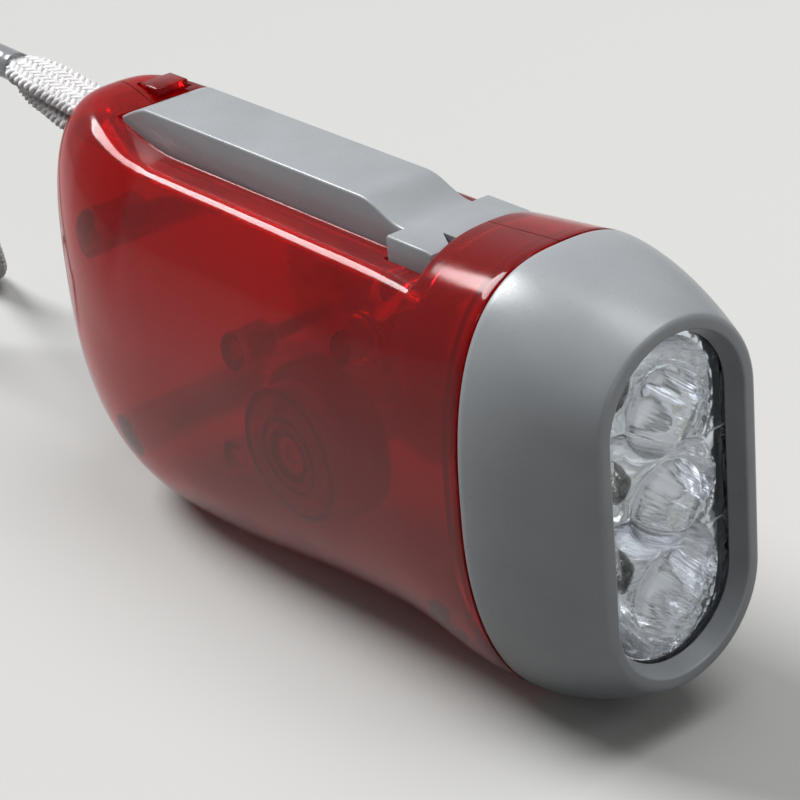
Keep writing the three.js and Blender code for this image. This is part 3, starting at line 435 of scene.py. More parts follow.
# Sintered zinc flywheel, tumbled and blackened: dull dark metal
ZINC = finish(
    "blackened_zinc", 0x54555A, tone=((0.5, 4.0), 0x46474C, 0x66686E), gloss=((0.5, 4.0), 0.36, 0.56),
    Metallic=1.0, Roughness=0.45,
)

# Pressed ferrite ring: matt charcoal with a mineral grain
FERRITE = finish(
    "pressed_ferrite", 0x2B2B2D, tone=((0.3, 4.0), 0x242426, 0x363639), relief=((0.3, 4.0), 0.3, 0.03),
    Roughness=0.65,
)

# Sintered bronze bush, soaked in oil: warm brown metal, slightly porous
BRONZE = finish(
    "sintered_bronze", 0xA9834A, tone=((0.25, 4.0), 0x96703C, 0xBB955A), Metallic=1.0, Roughness=0.42,
)

# Enamelled copper wire wound in layers: shiny orange threads, with painted shade in the grooves between them
COPPER = finish(
    "enamelled_copper", 0xB4602C, tone=(wound_threads_and_groove_shade, 0x8E4218, 0xC9743A),
    relief=(wound_threads_and_groove_shade, 0.6, 0.08), Metallic=0.9, Roughness=0.28,
)

# Glass fibre laminate with green solder mask: even green with the weave under it
LAMINATE = finish(
    "green_laminate", 0x2C6A44, tone=(laminate_weave, 0x296441, 0x2F7048), Roughness=0.35, IOR=1.5,
)

# Moulded black epoxy of the rectifier: matt black with a fine moulding grain
BLACK_EPOXY = finish("moulded_black_epoxy", 0x1C1C1E, relief=((0.2, 3.0), 0.4, 0.02), Roughness=0.55)

# Extruded PVC sleeving of the lead wires: smooth and slightly waxy
RED_SLEEVING = finish(
    "red_pvc_sleeving", 0xC42424, tone=((2, 3.0), 0xA81A1A, 0xC42424), Roughness=0.45, IOR=1.53,
)
BLACK_SLEEVING = finish(
    "black_pvc_sleeving", 0x242427, tone=((2, 3.0), 0x161618, 0x242427), Roughness=0.45, IOR=1.53,
)

# Braided polyester yarn: bright matt white threads with shade between them
BRAID = finish(
    "braided_polyester", 0xF4F2F3, tone=((2.5, 3.0), 0xEFECEE, 0xF8F6F7), relief=((0.15, 3.0), 0.3, 0.04),
    Roughness=0.7, IOR=1.5, Sheen_Weight=0.4, Subsurface_Weight=0.6, Subsurface_Radius=(1.0, 1.0, 1.0),
    Subsurface_Scale=1.5 * MM,
)

# Extruded clear grey PVC tube of the strap: smoky, soft gloss
TUBE = finish(
    "smoky_pvc_tube", 0xA9ABB1, tone=((4, 2.0), 0x9FA1A8, 0xB4B6BB), relief=((4, 2.0), 0.3, 0.2),
    Transmission_Weight=0.6, Roughness=0.2, IOR=1.53,
)


# Making pieces
def shape(name, bm):
    mesh = bpy.data.meshes.new(name)
    bm.to_mesh(mesh)
    bm.free()
    return placed(name, mesh)


def closed_up(bm):
    bmesh.ops.recalc_face_normals(bm, faces=bm.faces)
    return bm


def dress(made, material, body, replaced=(), sharp=35):
    made.data.materials.clear()
    made.data.materials.append(material)
    made.data.shade_smooth()
    made.data.set_sharp_from_angle(angle=math.radians(sharp))
    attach(made, body)
    if replaced:
        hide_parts(*replaced)
    return made


def piece(name, bm, material, body, replaced=(), sharp=35):
    return dress(shape(name, bm), material, body, replaced, sharp)


def applied(made):
    depsgraph = bpy.context.evaluated_depsgraph_get()
    mesh = bpy.data.meshes.new_from_object(made.evaluated_get(depsgraph))
    made.modifiers.clear()
    old = made.data
    made.data = mesh
    mesh.name = old.name
    if old.users == 0:
        bpy.data.meshes.remove(old)
    return made


def joined(base, other, operation):
    modifier = base.modifiers.new(operation.lower(), "BOOLEAN")
    modifier.object = other
    modifier.operation = operation
    modifier.solver = "EXACT"
    applied(base)
    bpy.data.objects.remove(other)
    return base


# A grid of faces whose columns go round once and whose rows run from one station to the next
def wrapped_grid(around, stations, place):
    bm = bmesh.new()
    rows = len(stations) - 1
    bmesh.ops.create_grid(bm, x_segments=around, y_segments=rows, size=1)
    for vertex in bm.verts:
        turn = (vertex.co.x + 1) / 2 * TAU
        row = round((vertex.co.y + 1) / 2 * rows)
        vertex.co = Vector(place(turn, stations[row])) * MM
    bmesh.ops.remove_doubles(bm, verts=bm.verts, dist=WELD)
    bmesh.ops.holes_fill(bm, edges=[edge for edge in bm.edges if edge.is_boundary], sides=0)
    return closed_up(bm)


def block(bm, low, high, rounding=0.0, segments=3):
    low = Vector(low)
    high = Vector(high)
    matrix = Matrix.Translation((low + high) / 2 * MM) @ Matrix.Diagonal((*((high - low) * MM), 1))
    made = bmesh.ops.create_cube(bm, size=1, matrix=matrix)["verts"]
    if rounding:
        edges = list({edge for vertex in made for edge in vertex.link_edges})
        bmesh.ops.bevel(
            bm, geom=edges, offset=rounding * MM, affect="EDGES", segments=segments, profile=0.5,
            material=-1,
        )


def bar_y(bm, x, z, radius, y0, y1, sides=48):
    middle = Vector((x, (y0 + y1) / 2, z)) * MM
    matrix = Matrix.Translation(middle) @ Matrix.Rotation(math.radians(90), 4, "X")
    bmesh.ops.create_cone(
        bm, cap_ends=True, segments=sides, radius1=radius * MM, radius2=radius * MM,
        depth=abs(y1 - y0) * MM, matrix=matrix,
    )


# A closed outline of (radius, height) points, spun about an axis through a centre
def turned(outline, centre, axis="Y", steps=96, closed=True):
    bm = bmesh.new()
    if axis == "Y":
        points = [Vector((radius, height, 0)) for radius, height in outline]
        direction = Vector((0, 1, 0))
    else:
        points = [Vector((height, 0, radius)) for radius, height in outline]
        direction = Vector((1, 0, 0))
    verts = [bm.verts.new((Vector(centre) + point) * MM) for point in points]
    following = verts[1:] + verts[:1] if closed else verts[1:]
    edges = [bm.edges.new(pair) for pair in zip(verts, following)]
    bmesh.ops.spin(
        bm, geom=verts + edges, cent=Vector(centre) * MM, axis=direction, angle=TAU, steps=steps,
        use_merge=True,
    )
    bmesh.ops.remove_doubles(bm, verts=bm.verts, dist=WELD)
    return closed_up(bm)


# Wire laid along points, as a round tube made into a mesh
def wire_mesh(name, lines, radius, sides=1):
    data = bpy.data.curves.new(name, "CURVE")
    data.dimensions = "3D"
    data.bevel_depth = radius * MM
    data.bevel_resolution = sides
    data.use_fill_caps = True
    for line in lines:
        spline = data.splines.new("POLY")
        spline.points.add(len(line) - 1)
        for point, place in zip(spline.points, line):
            point.co = (*(Vector(place) * MM), 1)
    curve = placed(name, data)
    depsgraph = bpy.context.evaluated_depsgraph_get()
    mesh = bpy.data.meshes.new_from_object(curve.evaluated_get(depsgraph))
    bpy.data.objects.remove(curve)
    mesh.name = name
    return placed(name, mesh)


def evenly(start, end, steps):
    return [start + (end - start) * step / steps for step in range(steps + 1)]


def quarter_turn(steps):
    return [step / steps * math.pi / 2 for step in range(steps + 1)]


def moved_copies(grown):
    return [item for item in grown["geom"] if isinstance(item, bmesh.types.BMVert)]


def arc_points(centre_x, centre_z, radius_x, radius_z, start, end, steps):
    points = []
    for step in range(steps + 1):
        angle = math.radians(start + (end - start) * step / steps)
        points.append((centre_x + radius_x * math.cos(angle), centre_z + radius_z * math.sin(angle)))
    return points


# A plate across Y with an outline of (x, z) points, its two faces rounded over towards their edges
def rounded_plate(outline, y0, y1, rounding, steps=4):
    bm = bmesh.new()
    verts = [bm.verts.new(Vector((x, y0 + rounding, z)) * MM) for x, z in outline]
    face = bm.faces.new(verts)
    bm.normal_update()
    if face.normal.y > 0:
        face.normal_flip()
        bm.normal_update()
    moved = moved_copies(bmesh.ops.extrude_face_region(bm, geom=[face]))
    bmesh.ops.translate(bm, verts=moved, vec=Vector((0, y1 - y0 - 2 * rounding, 0)) * MM)
    closed_up(bm)
    ends = [item for item in bm.faces if len(item.verts) == len(outline)]
    turns = quarter_turn(steps)
    for end in ends:
        for before, after in zip(turns, turns[1:]):
            bmesh.ops.inset_region(
                bm, faces=[end], use_even_offset=True,
                thickness=rounding * (math.cos(before) - math.cos(after)) * MM,
                depth=rounding * (math.sin(after) - math.sin(before)) * MM,
            )
    return bm


# Sections of the grip and of the head ring
def clamp_share(value):
    return min(1.0, max(0.0, value))


def quarter(share, power):
    return (1 - clamp_share(share) ** power) ** (1 / power)


def soft_min(a, b, width):
    share = clamp_share(0.5 + 0.5 * (b - a) / width)
    return b + (a - b) * share - width * share * (1 - share)


section_cache = {}


def grip_section(x):
    if x in section_cache:
        return section_cache[x]
    reached = FRONT_X - min(1, (FRONT_X - x) / BODY_LENGTH) * REAR_END_SHARE * BODY_LENGTH
    plan = (REAR_X + PLAN_REAR_LENGTH - reached) / PLAN_REAR_LENGTH
    belly = (REAR_X + BELLY_REAR_LENGTH - reached) / BELLY_REAR_LENGTH
    crown = (REAR_X + TOP_REAR_LENGTH - reached) / TOP_REAR_LENGTH
    rise = max(0, (x - BAR_FRONT_X) / (HEAD_X - BAR_FRONT_X)) * (HEAD_TOP - COLLAR_TOP)
    waist_reach = WAIST_REAR_REACH if x < WAIST_X else WAIST_FRONT_REACH
    waist = WAIST_RISE * max(0, 1 - ((x - WAIST_X) / waist_reach) ** 2) ** 2
    neck = clamp_share(1 - (HEAD_X - x) / NECK_LENGTH) ** 2
    front_top = clamp_share((x - TOP_BLEND_FRONT_X) / (HEAD_X - TOP_BLEND_FRONT_X))
    rear_top = clamp_share((REAR_X + TOP_BLEND_REAR_INSET - x) / TOP_BLEND_REAR_LENGTH)
    top = COLLAR_TOP - TOP_REAR_DROP * (1 - quarter(crown, 2)) + rise
    bottom = BELLY_REAR_HEIGHT * (1 - quarter(belly, BELLY_REAR_POWER)) - FOOT_CUT + waist
    upper = BODY_TOP_POWER + front_top * (SKIN_POWER - BODY_TOP_POWER)
    upper += rear_top * (REAR_TOP_POWER - BODY_TOP_POWER)
    section_cache[x] = {
        "half_width": BODY_HALF_WIDTH * quarter(plan, PLAN_REAR_POWER),
        "half_height": (top - bottom) / 2,
        "centre": (top + bottom) / 2,
        "upper": upper,
        "lower": SKIN_POWER + neck * (NECK_POWER - SKIN_POWER),
    }
    return section_cache[x]


def ring_angle(turn):
    return math.atan2(COLLAR_TOP / 2 * math.sin(turn), BODY_HALF_WIDTH * math.cos(turn))


def super_radius(angle, section, inset):
    power = section["lower"] if angle < 0 else section["upper"]
    across = abs(math.cos(angle) / (section["half_width"] - inset)) ** power
    along = abs(math.sin(angle) / (section["half_height"] - inset)) ** power
    return (across + along) ** (-1 / power)


def stadium_radius(angle, half_width, half_height):
    straight = half_height - half_width
    side = half_width / max(abs(math.cos(angle)), 1e-9)
    if side * abs(math.sin(angle)) <= straight:
        return side
    reach = straight * abs(math.sin(angle))
    return reach + math.sqrt(max(0, half_width ** 2 - (straight * math.cos(angle)) ** 2))


# The bed's height under the lever: a ramp up at the rear and a wall with a small fillet at the front collar
def bed_height(x, grow):
    wall_x = BED_FRONT_X + grow
    floor = BED_HEIGHT - grow
    if x > wall_x:
        return math.inf
    if x > wall_x - COLLAR_ROUND:
        return floor + COLLAR_ROUND - math.sqrt(COLLAR_ROUND ** 2 - (x - wall_x + COLLAR_ROUND) ** 2)
    return floor - soft_min(0, (x - BED_RAMP_X) * BED_RAMP_SLOPE, BED_RAMP_BLEND)


def grip_point(turn, station):
    x, inset, grow, _ = station
    section = grip_section(x)
    angle = ring_angle(turn)
    radius = super_radius(angle, section, inset)
    y = radius * math.cos(angle)
    z = section["centre"] + radius * math.sin(angle)
    bed = bed_height(x, grow)
    if bed < math.inf:
        z = soft_min(z, bed, CREST_ROUND)
    past = x - BED_FRONT_X - grow
    if 0 < past < COLLAR_ROUND and z > BED_HEIGHT - grow:
        drop = COLLAR_ROUND - math.sqrt(COLLAR_ROUND ** 2 - (COLLAR_ROUND - past) ** 2)
        z = max(BED_HEIGHT - grow, z - drop)
    return x, y, max(z, inset if inset >= WALL else 0)


def head_point(turn, station):
    x, inset, _, kind = station
    angle = ring_angle(turn)
    rim = stadium_radius(angle, RIM_HALF_WIDTH - inset, RIM_HALF_HEIGHT - inset)
    if kind == "rim":
        blend = 1
        edge = rim
        centre = RIM_CENTRE_Z
    else:
        section = grip_section(HEAD_X)
        blend = max(0, (x - HEAD_X) / HEAD_LENGTH) ** HEAD_POWER
        edge = super_radius(angle, section, inset)
        centre = (1 - blend) * section["centre"] + blend * RIM_CENTRE_Z
    radius = (1 - blend) * edge + blend * rim
    return x, radius * math.cos(angle), max(0, centre + radius * math.sin(angle))


def skin_point(turn, station):
    return grip_point(turn, station) if station[3] == "grip" else head_point(turn, station)


# Places along the grip, closer together where the rear end, the ramp and the collar's wall turn
def grip_places(rear_x, rounding, grow, end_x):
    flat_x = BED_RAMP_X + BED_RAMP_BLEND / BED_RAMP_SLOPE
    wall_x = BED_FRONT_X + grow
    places = [
        (rear_x + rounding * (1 - math.cos(angle)), rounding * (1 - math.sin(angle)))
        for angle in quarter_turn(END_STEPS)
    ]
    level = evenly(rear_x + rounding, flat_x, TOP_STEPS)[1:]
    level += evenly(flat_x, wall_x - COLLAR_ROUND, TOP_STEPS)[1:]
    level += [wall_x - COLLAR_ROUND * (1 - share) for share in WALL_FOOT_SHARES]
    level += [wall_x + COLLAR_ROUND * share for share in WALL_TOP_SHARES]
    level += evenly(wall_x + COLLAR_ROUND, end_x, NECK_STEPS)[1:]
    return places + [(x, 0) for x in level]


def outer_stations(end_x, inset=0.0, grow=0.0):
    rear = REAR_X + inset
    return [(x, inset + extra, grow, "grip") for x, extra in grip_places(rear, END_ROUND, grow, end_x)]


def shell_stations():
    front_x = HEAD_X - GAP
    root_x = HEAD_X - SPIGOT_ROOT
    outer_inset = HEAD_WALL + GAP
    inner_inset = outer_inset + SPIGOT_WALL
    along = evenly(HEAD_X, HEAD_X + SPIGOT_LENGTH, SPIGOT_STEPS)
    back = evenly(HEAD_X + SPIGOT_LENGTH, HEAD_X, SPIGOT_STEPS)
    inner = grip_places(REAR_X + WALL, INNER_END_ROUND, BED_WALL, root_x)
    return [
        *outer_stations(front_x - FRONT_EDGE_START),
        *((front_x - behind, inset, 0, "grip") for behind, inset in (*FRONT_EDGE, (0, outer_inset))),
        *((x, outer_inset, 0, "head") for x in along),
        *((x, inner_inset, 0, "head") for x in back),
        (root_x, inner_inset, BED_WALL, "grip"),
        *((x, WALL + extra, BED_WALL, "grip") for x, extra in reversed(inner)),
    ]


def boss_shapes():
    bm = bmesh.new()
    bosses = [
        (FIRST_AXLE.x, FIRST_AXLE.z, *AXLE_BOSS), (SECOND_AXLE.x, SECOND_AXLE.z, *AXLE_BOSS),
        (ROTOR.x, ROTOR.z, *ROTOR_BOSS), (HINGE.x, HINGE.z, HINGE_BOSS_RADIUS, BAR_HALF_WIDTH + GAP),
        *((x, z, SCREW_POST_RADIUS, GAP / 2) for x, z in SCREW_PLACES),
    ]
    for x, z, radius, start in bosses:
        for side in (-1, 1):
            bar_y(bm, x, z, radius, side * start, side * BODY_HALF_WIDTH)
    bar_y(bm, SPRING_POST.x, SPRING_POST.z, SPRING_POST_RADIUS, -SPRING_POST_START, -BODY_HALF_WIDTH)
    made = shape("bosses", closed_up(bm))
    for inner, outer, start in RING_RIBS:
        outline = [(inner, -BODY_HALF_WIDTH), (outer, -BODY_HALF_WIDTH), (outer, -start), (inner, -start)]
        joined(made, shape("rib", turned(outline, ROTOR)), "UNION")
    return made


def boss_holes():
    bm = bmesh.new()
    holes = [(FIRST_AXLE, AXLE_HOLE), (SECOND_AXLE, AXLE_HOLE), (ROTOR, ROTOR_HOLE), (HINGE, PIN_HOLE)]
    for side in (-1, 1):
        for place, (radius, depth) in holes:
            bar_y(bm, place.x, place.z, radius, 0, side * depth, HOLE_SIDES)
    for x, z in SCREW_PLACES:
        bar_y(bm, x, z, SCREW_HOLE_RADIUS, *SCREW_HOLE_SPAN, HOLE_SIDES)
    return shape("holes", closed_up(bm))


def screw_wells():
    bm = bmesh.new()
    for x, z in SCREW_PLACES:
        bar_y(bm, x, z, WELL_RADIUS, WELL_FLOOR, BODY_HALF_WIDTH + OVERRUN)
    return shape("wells", closed_up(bm))


# The slot of the lever, the recess of the lock's button and the hole of the strap
def lever_slot():
    bm = bmesh.new()
    half = LEVER_HALF_WIDTH + SLOT_GAP
    block(bm, (LEVER_REAR_X - SLOT_GAP, -half, SLOT_LOW_Z), (HINGE.x, half, ABOVE))
    low = slider_low - Vector((GAP, GAP, GAP))
    recess_z = BUTTON_TOP - BUTTON_THICKNESS - GAP / 2
    block(bm, (low.x, low.y, recess_z), (slider_high.x + GAP, slider_high.y + SLIDER_TRAVEL + GAP, ABOVE))
    half_z = STRAP_HOLE_HALF_HEIGHT
    half_y = STRAP_HOLE_HALF_WIDTH
    block(
        bm, (REAR_X - OVERRUN, -half_y, STRAP_Z - half_z), (REAR_X + 2 * WALL, half_y, STRAP_Z + half_z),
        rounding=STRAP_HOLE_ROUND, segments=8,
    )
    return shape("slot", bm)


def bar_pocket():
    half = BAR_HALF_WIDTH + BAR_POCKET_GAP / 2
    bm = bmesh.new()
    block(bm, (BAR_REAR_X - BAR_POCKET_GAP, -half, BAR_POCKET_LOW_Z), (BAR_FRONT_X + GAP, half, ABOVE))
    return shape("pocket", bm)


# Room for the bar's front edge when it turns, and for the lock's stem
def bar_undercut():
    half = BAR_HALF_WIDTH + BAR_POCKET_GAP / 2
    bm = bmesh.new()
    top = LEVER_TOP - BAR_DROP - BAR_CHAMFER / 2
    block(bm, (HINGE.x, -half, BAR_UNDERCUT_LOW_Z), (BAR_FRONT_X + BAR_SWING, half, top))
    stem_low = Vector((slider_low.x + STEM_X[0] - GAP, STEM_Y[0] - GAP, STEM_POCKET_LOW_Z))
    block(bm, stem_low, (slider_low.x + STEM_X[1] + GAP, STEM_Y[1] + SLIDER_TRAVEL + GAP, ABOVE))
    return shape("undercut", bm)


# A low rounded lip that runs round the lever's slot
def slot_lip():
    half = LEVER_HALF_WIDTH + SLOT_GAP + SLOT_LIP_OUT
    along = evenly(
        BAR_REAR_X - SLOT_LIP_FRONT_INSET, LEVER_REAR_X - SLOT_GAP - SLOT_LIP_OUT, SLOT_LIP_STEPS,
    )
    near = [(x, -half, bed_height(x, 0) - SLOT_LIP_SINK) for x in along]
    far = [(x, half, z) for x, _, z in near]
    return wire_mesh("lip", [[*near, *reversed(far)]], SLOT_LIP, 3)


def grip_shells():
    whole = shape("grip", wrapped_grid(RING_SIDES, shell_stations(), skin_point))
    reach = outer_stations(HEAD_X - BOSS_FRONT_INSET, BOSS_SINK, BOSS_SINK)
    middle = shape("middle", wrapped_grid(BOSS_SINK_SIDES, reach, skin_point))
    bosses = joined(boss_shapes(), middle, "INTERSECT")
    joined(whole, bosses, "UNION")
    joined(whole, slot_lip(), "UNION")
    for cutter in (boss_holes(), screw_wells(), lever_slot(), bar_pocket(), bar_undercut()):
        joined(whole, cutter, "DIFFERENCE")
    for side, name in ((-1, "shell_right"), (1, "shell_left")):
        bm = bmesh.new()
        far = side * (BODY_HALF_WIDTH + OVERRUN)
        near = side * SEAM / 2
        block(bm, (REAR_X - OVERRUN, min(near, far), -OVERRUN), (FRONT_X, max(near, far), ABOVE))
        half = placed("grip_" + name, whole.data.copy())
        joined(half, shape("half", bm), "INTERSECT")
        dress(half, RED, "frame", (name,), sharp=30)
    bpy.data.objects.remove(whole)


grip_shells()


# Head ring: flared shell with a rounded rim, a tapered step down to the window and a hollow behind it
def head_stations():
    seat_x = lens_high.x + GAP
    turns = quarter_turn(RIM_STEPS)
    round_start = FRONT_X - RIM_ROUND
    stations = [(HEAD_X + behind, inset, 0, "head") for behind, inset in HEAD_EDGE]
    stations += [(x, 0, 0, "head") for x in evenly(stations[-1][0], round_start, HEAD_STEPS)[1:]]
    stations += [
        (FRONT_X - RIM_ROUND * (1 - math.sin(angle)), RIM_ROUND * (1 - math.cos(angle)), 0, "head")
        for angle in turns[1:]
    ]
    stations += [
        (FRONT_X - RIM_LIP * (1 - math.cos(angle)), RIM_BAND - RIM_LIP * (1 - math.sin(angle)), 0, "rim")
        for angle in turns
    ]
    stations.append((seat_x + SEAT_EASE, RIM_BAND + RIM_TAPER * SEAT_EASE_SHARE, 0, "rim"))
    stations.append((seat_x, RIM_BAND + RIM_TAPER, 0, "rim"))
    stations += [(x, HEAD_WALL, 0, "head") for x in evenly(seat_x, HEAD_X, HEAD_INNER_STEPS)]
    return [*stations, stations[0]]


head_ring = wrapped_grid(RING_SIDES, head_stations(), skin_point)
piece("head_ring", head_ring, GREY, "frame", ("head_bezel",), sharp=30)


# Front window: a stadium plate with softened edges and a lens cap before each lamp
def window():
    half_width = (lens_high.y - lens_low.y) / 2
    half_height = (lens_high.z - lens_low.z) / 2
    ease = WINDOW_EDGE * WINDOW_EDGE_SHARE
    stations = [
        (lens_low.x, WINDOW_EDGE), (lens_low.x + ease, ease), (lens_low.x + WINDOW_EDGE, 0),
        (lens_high.x - WINDOW_EDGE, 0), (lens_high.x - ease, ease), (lens_high.x, WINDOW_EDGE),
    ]

    def place(turn, station):
        x, inset = station
        radius = stadium_radius(turn, half_width - inset, half_height - inset)
        return x, radius * math.cos(turn), RIM_CENTRE_Z + radius * math.sin(turn)

    plate = shape("front_window", wrapped_grid(WINDOW_SIDES, stations, place))
    sphere = (LENS_RADIUS ** 2 + LENS_RISE ** 2) / (2 * LENS_RISE)
    half_angle = math.degrees(math.asin(LENS_RADIUS / sphere))
    cap = arc_points(0, LENS_RISE - sphere, sphere, sphere, 90, 90 - half_angle, LENS_STEPS)
    for middle in LAMP_PLACES.values():
        outline = [*cap, (LENS_RADIUS, -LENS_SINK), (0, -LENS_SINK)]
        lens = turned(outline, (lens_high.x, 0, middle), axis="X", closed=False)
        joined(plate, shape("lens", lens), "UNION")
    dress(plate, WINDOW, "frame", ("front_lens",), sharp=20)


window()


# Reflector: three bright cups side by side, whose edges meet in ridges
def cup_depth(y, z):
    nearest, centre = min((math.hypot(y, z - middle), middle) for middle in LAMP_PLACES.values())
    angle = math.atan2(z - centre, y)
    span = CUP_MOUTH_RADIUS ** 2 - CUP_FLOOR_RADIUS ** 2
    depth = CUP_DEPTH * clamp_share((nearest ** 2 - CUP_FLOOR_RADIUS ** 2) / span)
    return depth, nearest, angle


def reflector():
    half_width = (reflector_high.y - reflector_low.y) / 2 - REFLECTOR_GAP
    half_height = (reflector_high.z - reflector_low.z) / 2 - REFLECTOR_GAP
    bm = bmesh.new()
    bmesh.ops.create_grid(bm, x_segments=REFLECTOR_GRID[0], y_segments=REFLECTOR_GRID[1], size=1)
    straight = half_height - half_width
    reach = {}
    turn = {}
    for vertex in bm.verts:
        z = half_height * math.sin(vertex.co.y * math.pi / 2)
        past = max(0, abs(z) - straight)
        across = math.sqrt(max(0, half_width ** 2 - past ** 2))
        y = vertex.co.x * across
        depth, reach[vertex], turn[vertex] = cup_depth(y, RIM_CENTRE_Z + z)
        vertex.co = Vector((reflector_high.x - CUP_DEPTH + depth, y, RIM_CENTRE_Z + z)) * MM
    open_faces = [face for face in bm.faces if max(reach[corner] for corner in face.verts) < CUP_HOLE_RADIUS]
    around = bm.loops.layers.uv.new("around_cup")
    for face in bm.faces:
        for loop in face.loops:
            loop[around].uv = (math.cos(turn[loop.vert]), math.sin(turn[loop.vert]))
    bmesh.ops.delete(bm, geom=open_faces, context="FACES")
    bmesh.ops.remove_doubles(bm, verts=bm.verts, dist=WELD)
    bmesh.ops.dissolve_degenerate(bm, edges=bm.edges, dist=WELD)
    closed_up(bm)
    if sum(face.normal.x * face.calc_area() for face in bm.faces) < 0:
        bmesh.ops.reverse_faces(bm, faces=bm.faces)
    made = shape("lamp_reflector", bm)
    wall = made.modifiers.new("wall", "SOLIDIFY")
    wall.thickness = REFLECTOR_WALL * MM
    wall.offset = -1
    applied(made)
    dress(made, CHROME, "frame", ("reflector",), sharp=25)


reflector()


# Lamps: a clear dome on a flange, with the lead frame, its cup and the phosphor inside. The profiles are
# (radius, height) over the lamp's base, and a post of the lead frame is (side, width, top).
LAMP_FLANGE = [(0, 0), (2.75, 0), (2.9, 0.15), (2.9, 0.85), (2.75, 1.0), (LAMP_RADIUS, 1.05)]
LAMP_CUP = [(0, 4.6), (0.55, 4.6), (0.95, 5.4), (1.1, 5.4), (0.8, 4.3), (0, 4.3)]
LAMP_PHOSPHOR = [(0, 4.7), (0.75, 4.95), (0.92, 5.3), (0.6, 5.5), (0, 5.55)]
LAMP_STEPS = 12
LAMP_SIDES = 64
LAMP_CUP_Y = -0.75
LAMP_CUP_SIDES = 40
LEAD_Y = 1.27
LEAD_HALF = 0.25
LEAD_SPAN = (3.2, 1.6)
LEAD_ROUND = 0.05
POSTS = ((-1, 1.5, 4.9), (1, 0.7, 4.4))
POST_SHIFT = 0.1
POST_START = 1.4
POST_ROUND = 0.08


def lamp(name, z):
    base_x = node_box(name)[1].x - LAMP_LENGTH
    straight = LAMP_LENGTH - LAMP_RADIUS
    outline = [*LAMP_FLANGE]
    for angle in quarter_turn(LAMP_STEPS)[:-1]:
        outline.append((LAMP_RADIUS * math.cos(angle), straight + LAMP_RADIUS * math.sin(angle)))
    outline.append((0, LAMP_LENGTH))
    dome = turned(outline, (base_x, 0, z), axis="X", steps=LAMP_SIDES, closed=False)
    piece(name + "_dome", dome, EPOXY, "frame", (name,), sharp=40)

    leads = bmesh.new()
    low_z = z - LEAD_HALF
    high_z = z + LEAD_HALF
    for side, width, top in POSTS:
        y = side * LEAD_Y
        inner = y - side * POST_SHIFT
        low = (base_x - LEAD_SPAN[0], y - LEAD_HALF, low_z)
        block(leads, low, (base_x + LEAD_SPAN[1], y + LEAD_HALF, high_z), LEAD_ROUND, 1)
        low = (base_x + POST_START, inner - width / 2, low_z)
        block(leads, low, (base_x + top, inner + width / 2, high_z), POST_ROUND, 2)
    piece(name + "_leads", closed_up(leads), STEEL, "frame", sharp=40)
    inside = (("_cup", LAMP_CUP, STEEL, "steel"), ("_phosphor", LAMP_PHOSPHOR, PHOSPHOR, "lamp_epoxy"))
    for ending, profile, material, slot in inside:
        bm = turned(profile, (base_x, LAMP_CUP_Y, z), axis="X", steps=LAMP_CUP_SIDES, closed=False)
        piece(name + ending, bm, material, "frame", sharp=40)


for lamp_name, lamp_z in LAMP_PLACES.items():
    lamp(lamp_name, lamp_z)


# Teeth: how much of a pitch one takes, its foot and head in modules, and how much wider its foot and how
# wide its tip is, in shares of its width on the pitch circle
TOOTH_SHARE = 0.4
TOOTH_FOOT = 1.05
TOOTH_HEAD = 0.8
FOOT_FLARE_SHARE = 0.55
TIP_SHARE = 0.35
TOOTH_SINK = 0.3


# Half a tooth as (radius, half angle): the root, the pitch circle and the tip
def tooth_outline(teeth, module):
    pitch = teeth * module / 2
    half = TOOTH_SHARE * math.pi / teeth
    root = pitch - TOOTH_FOOT * module
    tip = pitch + TOOTH_HEAD * module
    foot_half = half + FOOT_FLARE_SHARE * half
    return [(root - TOOTH_SINK, foot_half), (root, foot_half), (pitch, half), (tip, TIP_SHARE * half)]


def toothed_arc(bm, centre, teeth, module, first_angle, count, y0, y1, inner_radius):
    def corner(radius, angle):
        place = (centre.x + radius * math.cos(angle), y0, centre.z + radius * math.sin(angle))
        return bm.verts.new(Vector(place) * MM)

    step = TAU / teeth
    sides = tooth_outline(teeth, module)
    outline = [(radius, -half) for radius, half in sides]
    outline += [(radius, half) for radius, half in reversed(sides)]
    tooth = bm.faces.new([corner(radius, first_angle + angle) for radius, angle in outline])
    web = [corner(radius, first_angle - step / 2) for radius in (inner_radius, sides[1][0])]
    rim = bm.edges.new(web)
    spun = {"cent": Vector((centre.x, y0, centre.z)) * MM, "axis": (0, 1, 0)}
    bmesh.ops.spin(bm, geom=[tooth], angle=-step * (count - 1), steps=count - 1, use_duplicate=True, **spun)
    bmesh.ops.spin(bm, geom=[*web, rim], angle=-step * count, steps=count * 3, **spun)
    bmesh.ops.remove_doubles(bm, verts=bm.verts, dist=WELD)
    moved = moved_copies(bmesh.ops.extrude_face_region(bm, geom=bm.faces[:]))
    bmesh.ops.translate(bm, verts=moved, vec=(0, (y1 - y0) * MM, 0))
    closed_up(bm)


